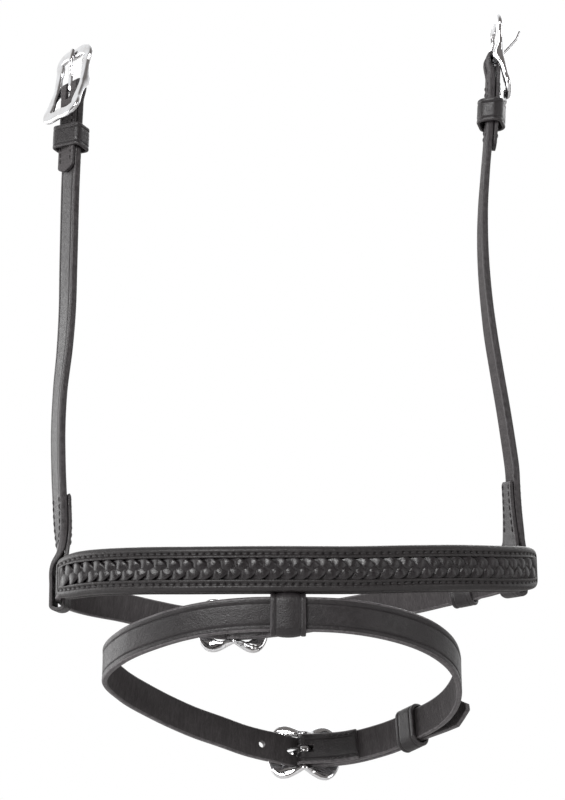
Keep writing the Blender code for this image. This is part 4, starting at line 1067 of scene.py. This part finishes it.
def build_chin():
    own = CHIN_THICKNESS
    bar_right = ring_distance(CHIN_BAR_DEG)
    bar_left = ring_distance(CHIN_BAR_DEG - 360.0)
    coming = stations_of(straight((NOSE_RIGHT - STRAP_TUCK, STRAP_LEVEL),
                                  (bar_right - SMALL_RUN, STRAP_LEVEL)))
    stations = chain(coming, fold_stations(-1.0, bar_right, STRAP_LEVEL, own))
    buckle_strap = strap("chin_strap_right", ring, stations, CHIN_WIDTH, own, CREASE_INSET, RING_MATERIALS)
    place = ring.place(bar_right, STRAP_LEVEL + BAR_RISE, -1.0)
    pierce(buckle_strap, place, slot(-SMALL_SIZE[2] * 1.2, SMALL_SIZE[2]), own * 1.6)
    flat, riding = [STRAP_LEVEL + rise for rise in billet_rise(own)]
    low = STRAP_LEVEL + billet_rise(own)[0] * BILLET_LOW_SHARE
    tip = ring_distance(CHIN_TIP_DEG - 360.0)
    nose = CHIN_WIDTH * 0.55
    climb = (bar_left + SMALL_RUN * CHIN_CLIMB_SHARE, STRAP_LEVEL)
    before, after = (bar_left + SMALL_RUN, low), (bar_left - SMALL_RUN, flat)
    stations = stations_of(chain(
        straight((NOSE_LEFT + STRAP_TUCK, STRAP_LEVEL), climb), ease(climb, before),
        ease(before, (bar_left, riding)), ease((bar_left, riding), after),
        straight(after, (tip + nose, flat))))
    for angle in [math.pi / 2 * step / 11 for step in range(11)]:
        stations.append((tip + nose * (1 - math.sin(angle)), flat, max(math.cos(angle) ** 0.75, 0.12), 1.0))
    stations.append((tip, flat, 0.06, 1.0))
    billet = strap("chin_strap_left", ring, stations, CHIN_WIDTH, own, CREASE_INSET, RING_MATERIALS, False)
    pin_place = ring.place(bar_left + SMALL_RUN * PIN_HOLE_SHARE,
                           STRAP_LEVEL + (low + riding - STRAP_LEVEL) / 2)
    pierce(billet, pin_place, oval(*PIN_HOLE), own * 2)
    metal, pin = build_small_buckle("chin", place, CHIN_WIDTH, own)
    runner = build_runner("chin_runner", ring.place(ring_distance(CHIN_KEEPER_DEG), STRAP_LEVEL),
                          CHIN_WIDTH / 2, own, 0.05)
    seam = fold_seam("chin_fold_stitching", ring, bar_right, -1.0, CHIN_WIDTH, STRAP_LEVEL + own / 2,
                     STRAP_LEVEL - own / 2 - GAP - SKIVED)
    return buckle_strap, billet, metal, pin, runner, seam


def build_flash():
    course, turn, crossing = flash_course()
    own = FLASH_THICKNESS
    flat, riding = billet_rise(own)
    low = flat * BILLET_LOW_SHARE
    tip = turn + FLASH_OVERLAP - FLASH_TIP_SHORT
    lift = turn + FLASH_KEEPER_REACH + KEEPER_HEIGHT / 2
    free = tip - lift
    nose = FLASH_WIDTH * 0.44
    climb = (turn - SMALL_RUN * FLASH_CLIMB_SHARE, 0.0)
    before, after = (turn - SMALL_RUN, low), (turn + SMALL_RUN, flat)
    bent = []
    for step in range(1, 17):
        gone = (free - nose) * step / 16
        bent.append((lift + gone, flat + FLASH_TIP_BEND * (gone / free) ** 1.6))
    stations = chain(reversed(fold_stations(1.0, 0.0, 0.0, own)), stations_of(chain(
        straight((SMALL_RUN, 0.0), climb), ease(climb, before), ease(before, (turn, riding)),
        ease((turn, riding), after), straight(after, (lift, flat)), bent)))
    for step in range(9):
        gap = nose * (1 - step / 8)
        wide = 1 - 0.78 * (step / 8) ** 1.1
        stations.append((tip - gap, flat + FLASH_TIP_BEND * ((free - gap) / free) ** 1.6, wide, 1.0))
    band = strap("flash_band_strap", course, stations, FLASH_WIDTH, own, FLASH_CREASE_INSET, RING_MATERIALS,
                 False, CREASE_DEPTH * 1.3)
    place = course.place(0.0, BAR_RISE)
    pierce(band, place, slot(-SMALL_SIZE[2] * 1.2, SMALL_SIZE[2]), own * 1.6)
    pin_at = turn - SMALL_RUN * PIN_HOLE_SHARE
    pierce(band, course.place(pin_at, (low + riding) / 2), oval(*PIN_HOLE), own * 2)
    pierce(band, course.place(pin_at - HOLE_PITCH + FLASH_HOLE_SHIFT, 0.0),
           oval(HOLE_DIAMETER, HOLE_DIAMETER), own * 1.5)
    metal, pin = build_small_buckle("flash", place, FLASH_WIDTH, own)
    runner = build_runner("flash_runner", course.place(FLASH_KEEPER_REACH + FLASH_RUNNER_SHIFT, 0.0),
                          FLASH_WIDTH / 2 + FLASH_RUNNER_EASE, own, -0.06)
    seam = fold_seam("flash_fold_stitching", course, 0.0, 1.0, FLASH_WIDTH, own / 2,
                     -own / 2 - GAP - SKIVED - THREAD_RADIUS * 0.6)
    end = course.place(tip, flat + FLASH_TIP_SPRING).translation
    for vertex in band.data.vertices:
        vertex.co.z -= FLASH_TIP_SINK * soft_step(1.0 - (vertex.co - end).length / FLASH_TIP_REACH)
    for thing in (band, metal, pin, runner, seam):
        thing.data.transform(Matrix.Translation(FLASH_SHIFT))
    return band, metal, pin, runner, seam, build_flash_loop(course.point(crossing))


def build_flash_loop(front):
    """A stadium-shaped leather loop; its round top turns about the hinge line under the nosepiece."""
    radius = FLASH_THICKNESS / 2 + LOOP_EASE + LOOP_WALL / 2
    hinge = Vector((0.0, front.y, -(NOSE_HEIGHT / 2 + GAP + radius + LOOP_WALL / 2)))
    drop = 2 * (hinge.z - front.z) - LOOP_LIFT
    flat = []
    for half, low in ((0, 0.0), (1, drop)):
        for angle in [math.pi * (half + step / 24) for step in range(25)]:
            flat.append((-radius * math.cos(angle), radius * math.sin(angle) - low))
        for share in [step / 22 for step in range(1, 22)]:
            flat.append((-radius, -drop + drop * share) if half else (radius, -drop * share))
    points = [hinge + Vector((-LOOP_LEFT, a * LOOP_DEPTH_SHARE, b + LOOP_LIFT)) for a, b in flat]
    profile = strap_profile(LOOP_WIDTH, LOOP_WALL, CREASE_INSET * 1.2, CREASE_DEPTH * 1.3, True, 0.0004)
    return build_loop("flash_hanger_loop", points, [X_AXIS] * len(points), profile, hinge)


def build_cheek(name, side, degrees, shares, twist, lean_deg, open_deg):
    """A cheek strap with its keeper and buckle, from its loop round the chin strap up to the buckle bar."""
    course = cheek_course(side, ring_point(degrees), ring.axes(ring_distance(degrees))[2], shares, twist)
    thin = SKIVED / CHEEK_THICKNESS
    middle = STRAP_LEVEL - CHEEK_STANDOFF
    half_depth = CHIN_THICKNESS / 2 + CHEEK_LOOP_EASE + SKIVED / 2
    outer, inner = middle + half_depth, middle - half_depth
    low = -(CHIN_WIDTH / 2 + CHEEK_LOOP_ROOM)
    up = -low * 1.2
    far = CHEEK_THICKNESS / 2 + GAP + SKIVED / 2
    bar_at = course.along[-1]
    reach = BAR_RADIUS + GAP + SKIVED / 2
    fold_at = bar_at - CHEEK_FOLD_RUN
    bend = []
    for angle in [math.pi * step / 20 for step in range(1, 20)]:
        bend.append((low - half_depth * math.sin(angle) * LOOP_FLATNESS_SHARE,
                     middle - half_depth * math.cos(angle)))
    lower = [(CHEEK_TURN_BACK, -far, 0.96, thin * 0.3), (CHEEK_TURN_BACK - 0.0008, -far, 1.0, thin * 0.7)]
    lower += stations_of(chain(
        straight((CHEEK_TURN_BACK - 0.0016, -far), (up * 1.5, -far)),
        ease((up * 1.5, -far), (up * 0.9, inner)), straight((up * 0.9, inner), (low, inner)), bend), thin)
    rising = []
    for s, n in chain(straight((low, outer), (up * 0.9, outer)), ease((up * 0.9, outer), (up * 1.8, 0.0)),
                      straight((up * 1.8, 0.0), (fold_at, 0.0))):
        rising.append((s, n, 1.0, thin + (1 - thin) * min(max((s - up * 0.9) / (up * 0.9), 0.0), 1.0)))
    end = bar_at - CHEEK_TOP_TURN_BACK - CHEEK_POINT_REACH
    top = thinning(ease((fold_at, 0.0), (bar_at, CHEEK_BAR_RISE - reach)), thin)
    back = chain(ease((bar_at, CHEEK_BAR_RISE + reach), (fold_at, far)),
                 straight((fold_at, far), (end + CHEEK_POINT_RUN, far)))
    top += stations_of(half_turn((bar_at, CHEEK_BAR_RISE), reach, 1.0, -1.0) + back, thin)
    top += [(end + CHEEK_POINT_RUN * gap, far, wide, thin) for gap, wide in CHEEK_POINT_SHARES]
    band = strap(name + "_cheek_band", course, chain(lower, rising, top), CHEEK_WIDTH, CHEEK_THICKNESS,
                 CREASE_INSET, STRAP_MATERIALS, side > 0.0)
    place = course.place(bar_at, CHEEK_BAR_RISE, -1.0)
    pierce(band, place, slot(-SMALL_SIZE[2] * 1.4, SMALL_SIZE[2] * 1.7), CHEEK_THICKNESS * 1.7)
    lean = place @ Matrix.Rotation(math.radians(-lean_deg), 4, 'Y')
    metal = build_frame(name + "_buckle", lean, LARGE_SIZE, CHEEK_FORM, CHEEK_FLARE)
    pin = build_tongue(name + "_tongue", lean @ Matrix.Rotation(math.radians(open_deg), 4, 'Y'), LARGE_SIZE,
                       CHEEK_FLARE, -CHEEK_TONGUE_SHORT, OPEN_PIN_SHARES)
    drop = LARGE_SIZE[0] / 2 + CHEEK_KEEPER_CLEARANCE + CHEEK_KEEPER_HEIGHT / 2
    turn = Matrix.Rotation(math.radians(-CHEEK_KEEPER_TURN_DEG * side), 4, 'X')
    loop = build_keeper(name + "_keeper", course.place(bar_at - drop, 0.0) @ turn, CHEEK_WIDTH / 2 + GAP * 3,
                        -CHEEK_THICKNESS / 2 - CHEEK_KEEPER_SLACK * (0.8 + 0.2 * side),
                        far + SKIVED / 2 + CHEEK_KEEPER_SLOT * (0.75 + 0.25 * side), CHEEK_KEEPER_HEIGHT,
                        0.58 + 0.12 * side, 0.04, 0.10)
    seam = sewn_rows(name + "_cheek_stitching", course, CHEEK_WIDTH / 2 - CREASE_INSET, (
        (bar_at - CHEEK_TOP_TURN_BACK + CHEEK_POINT_RUN, bar_at - 0.0125,
         ((far + SKIVED / 2, 1.0), (-CHEEK_THICKNESS / 2, -1.0))),
        (up * 1.9, CHEEK_TURN_BACK - 0.001, ((CHEEK_THICKNESS / 2, 1.0), (-far - SKIVED / 2, -1.0)))))
    return band, loop, metal, pin, seam


chin_right, chin_left, chin_metal, chin_pin, chin_loop, chin_seam = build_chin()
flash_band, flash_metal, flash_pin, flash_runner, flash_seam, flash_hanger = build_flash()
cheeks = {"left": build_cheek("left", -1.0, LEFT_CHEEK_DEG - 360.0, LEFT_CHEEK_SHARES, LEFT_TWIST_SHARES,
                              LEFT_FRAME_LEAN_DEG, 0.0),
          "right": build_cheek("right", 1.0, RIGHT_CHEEK_DEG, RIGHT_CHEEK_SHARES, RIGHT_TWIST_SHARES,
                               RIGHT_FRAME_LEAN_DEG, RIGHT_TONGUE_OPEN_DEG)}


# ---- what each piece stands for and rides on ---------------------------------------------------

def dress(piece, body, slot_name, *nodes):
    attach(piece, body)
    if nodes:
        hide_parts(*nodes)


dress(nose_leather, "noseband", "black_leather", "nosepiece_front")
dress(nose_stitches, "noseband", "black_leather")
for lace in laces:
    dress(lace, "noseband", "black_lace", "plaited_insert")
dress(pad, "noseband", "black_lining", "nosepiece_lining", "nosepiece_padding")
dress(chin_right, "noseband", "black_leather", "chin_buckle_strap")
dress(chin_left, "noseband", "black_leather", "chin_billet_strap")
dress(chin_seam, "noseband", "black_leather")
dress(chin_metal, "chin_frame", "chrome", "chin_buckle_frame")
dress(chin_pin, "chin_tongue", "chrome", "chin_buckle_tongue")
dress(chin_loop, "chin_runner", "black_leather", "chin_keeper")
dress(flash_hanger, "flash_hanger", "black_leather", "flash_loop")
dress(flash_band, "flash_band", "black_leather", "flash_strap")
dress(flash_seam, "flash_band", "black_leather")
dress(flash_metal, "flash_frame", "chrome", "flash_buckle_frame")
dress(flash_pin, "flash_tongue", "chrome", "flash_buckle_tongue")
dress(flash_runner, "flash_runner", "black_leather", "flash_keeper")
for hand, (band, loop, metal, pin, seam) in cheeks.items():
    dress(band, hand + "_cheek", "black_leather", hand + "_cheek_strap")
    dress(loop, hand + "_cheek", "black_leather", hand + "_cheek_keeper")
    dress(seam, hand + "_cheek", "black_leather")
    dress(metal, hand + "_frame", "chrome", hand + "_buckle_frame")
    dress(pin, hand + "_tongue", "chrome", hand + "_buckle_tongue")


# ---- studio ------------------------------------------------------------------------------------

def build_floor():
    mesh = bpy.data.meshes.new("studio_floor")
    corners = [(x * FLOOR_HALF, y * FLOOR_HALF, FLOOR_HEIGHT)
               for x, y in ((-1, -1), (1, -1), (1, 1), (-1, 1))]
    mesh.from_pydata(corners, [], [(0, 1, 2, 3)])
    shade = Shade("pale_floor", (0.82, 0.82, 0.82), 0.9)
    shade.coloured(shade.noise(shade.place, 3.0, 2.0), (0.80, 0.80, 0.80), (0.84, 0.84, 0.84))
    mesh.materials.append(shade.material)
    floor = link_object("studio_floor", mesh)


def build_world():
    """White for the camera and for what mirrors the backdrop, and a dim warm room for all the rest."""
    world = bpy.data.worlds.new("studio")
    bpy.context.scene.world = world
    world.use_nodes = True
    tree = world.node_tree
    tree.nodes.clear()
    path = add_node(tree, "LightPath").outputs
    seen = maths(tree, 'MAXIMUM', path["Is Camera Ray"], path["Is Transmission Ray"])
    way = add_node(tree, "TexCoord").outputs["Generated"]
    way = add_node(tree, "SeparateXYZ", Vector=way).outputs
    above, behind = [add_node(tree, "MapRange", interpolation_type='SMOOTHSTEP', From_Min=low, From_Max=high,
                              Value=way[axis]).outputs[0]
                     for axis, low, high in (BACKDROP_ABOVE, BACKDROP_BEHIND)]
    mirrored = maths(tree, 'MULTIPLY', path["Is Glossy Ray"], maths(tree, 'MULTIPLY', above, behind))
    white = add_node(tree, "Background", Color=(1.0, 1.0, 1.0, 1.0), Strength=1.0)
    room = add_node(tree, "Background", Color=ROOM_COLOUR, Strength=ROOM_STRENGTH)
    both = add_node(tree, "MixShader")
    fill(tree, both.inputs, (maths(tree, 'MAXIMUM', seen, mirrored), room.outputs[0], white.outputs[0]))
    add_node(tree, "OutputWorld", Surface=both.outputs[0])


def soft_light(name, place, aim_height, size, power):
    """A soft lamp aimed at a height on the object's middle line."""
    data = bpy.data.lights.new(name, 'AREA')
    data.shape = 'RECTANGLE'
    data.size, data.size_y = size
    data.energy = power
    lamp = link_object(name, data)
    lamp.location = place
    lamp.rotation_euler = (Vector((0.0, 0.0, aim_height)) - Vector(place)).to_track_quat('-Z', 'Y').to_euler()


def build_camera():
    data = bpy.data.cameras.new("view")
    data.lens = CAMERA_LENS
    data.clip_start = 0.01
    data.clip_end = 50.0
    camera = link_object("view", data)
    camera.location = CAMERA_PLACE
    camera.rotation_euler = (math.radians(90.0 + CAMERA_PITCH_DEG), 0.0, 0.0)
    bpy.context.scene.camera = camera


build_floor()
build_world()
soft_light("key", (-0.55, -1.25, 0.62), 0.02, (0.6, 0.5), 17.0)
soft_light("fill", (1.1, -0.9, 0.15), 0.08, (0.4, 0.9), 3.0)
soft_light("side", (-1.5, 0.30, 0.05), 0.00, (1.7, 1.4), 24.0)
soft_light("back", (0.3, 1.3, 0.9), 0.05, (1.2, 0.7), 8.0)
build_camera()
bpy.context.scene.view_settings.view_transform = 'Standard'
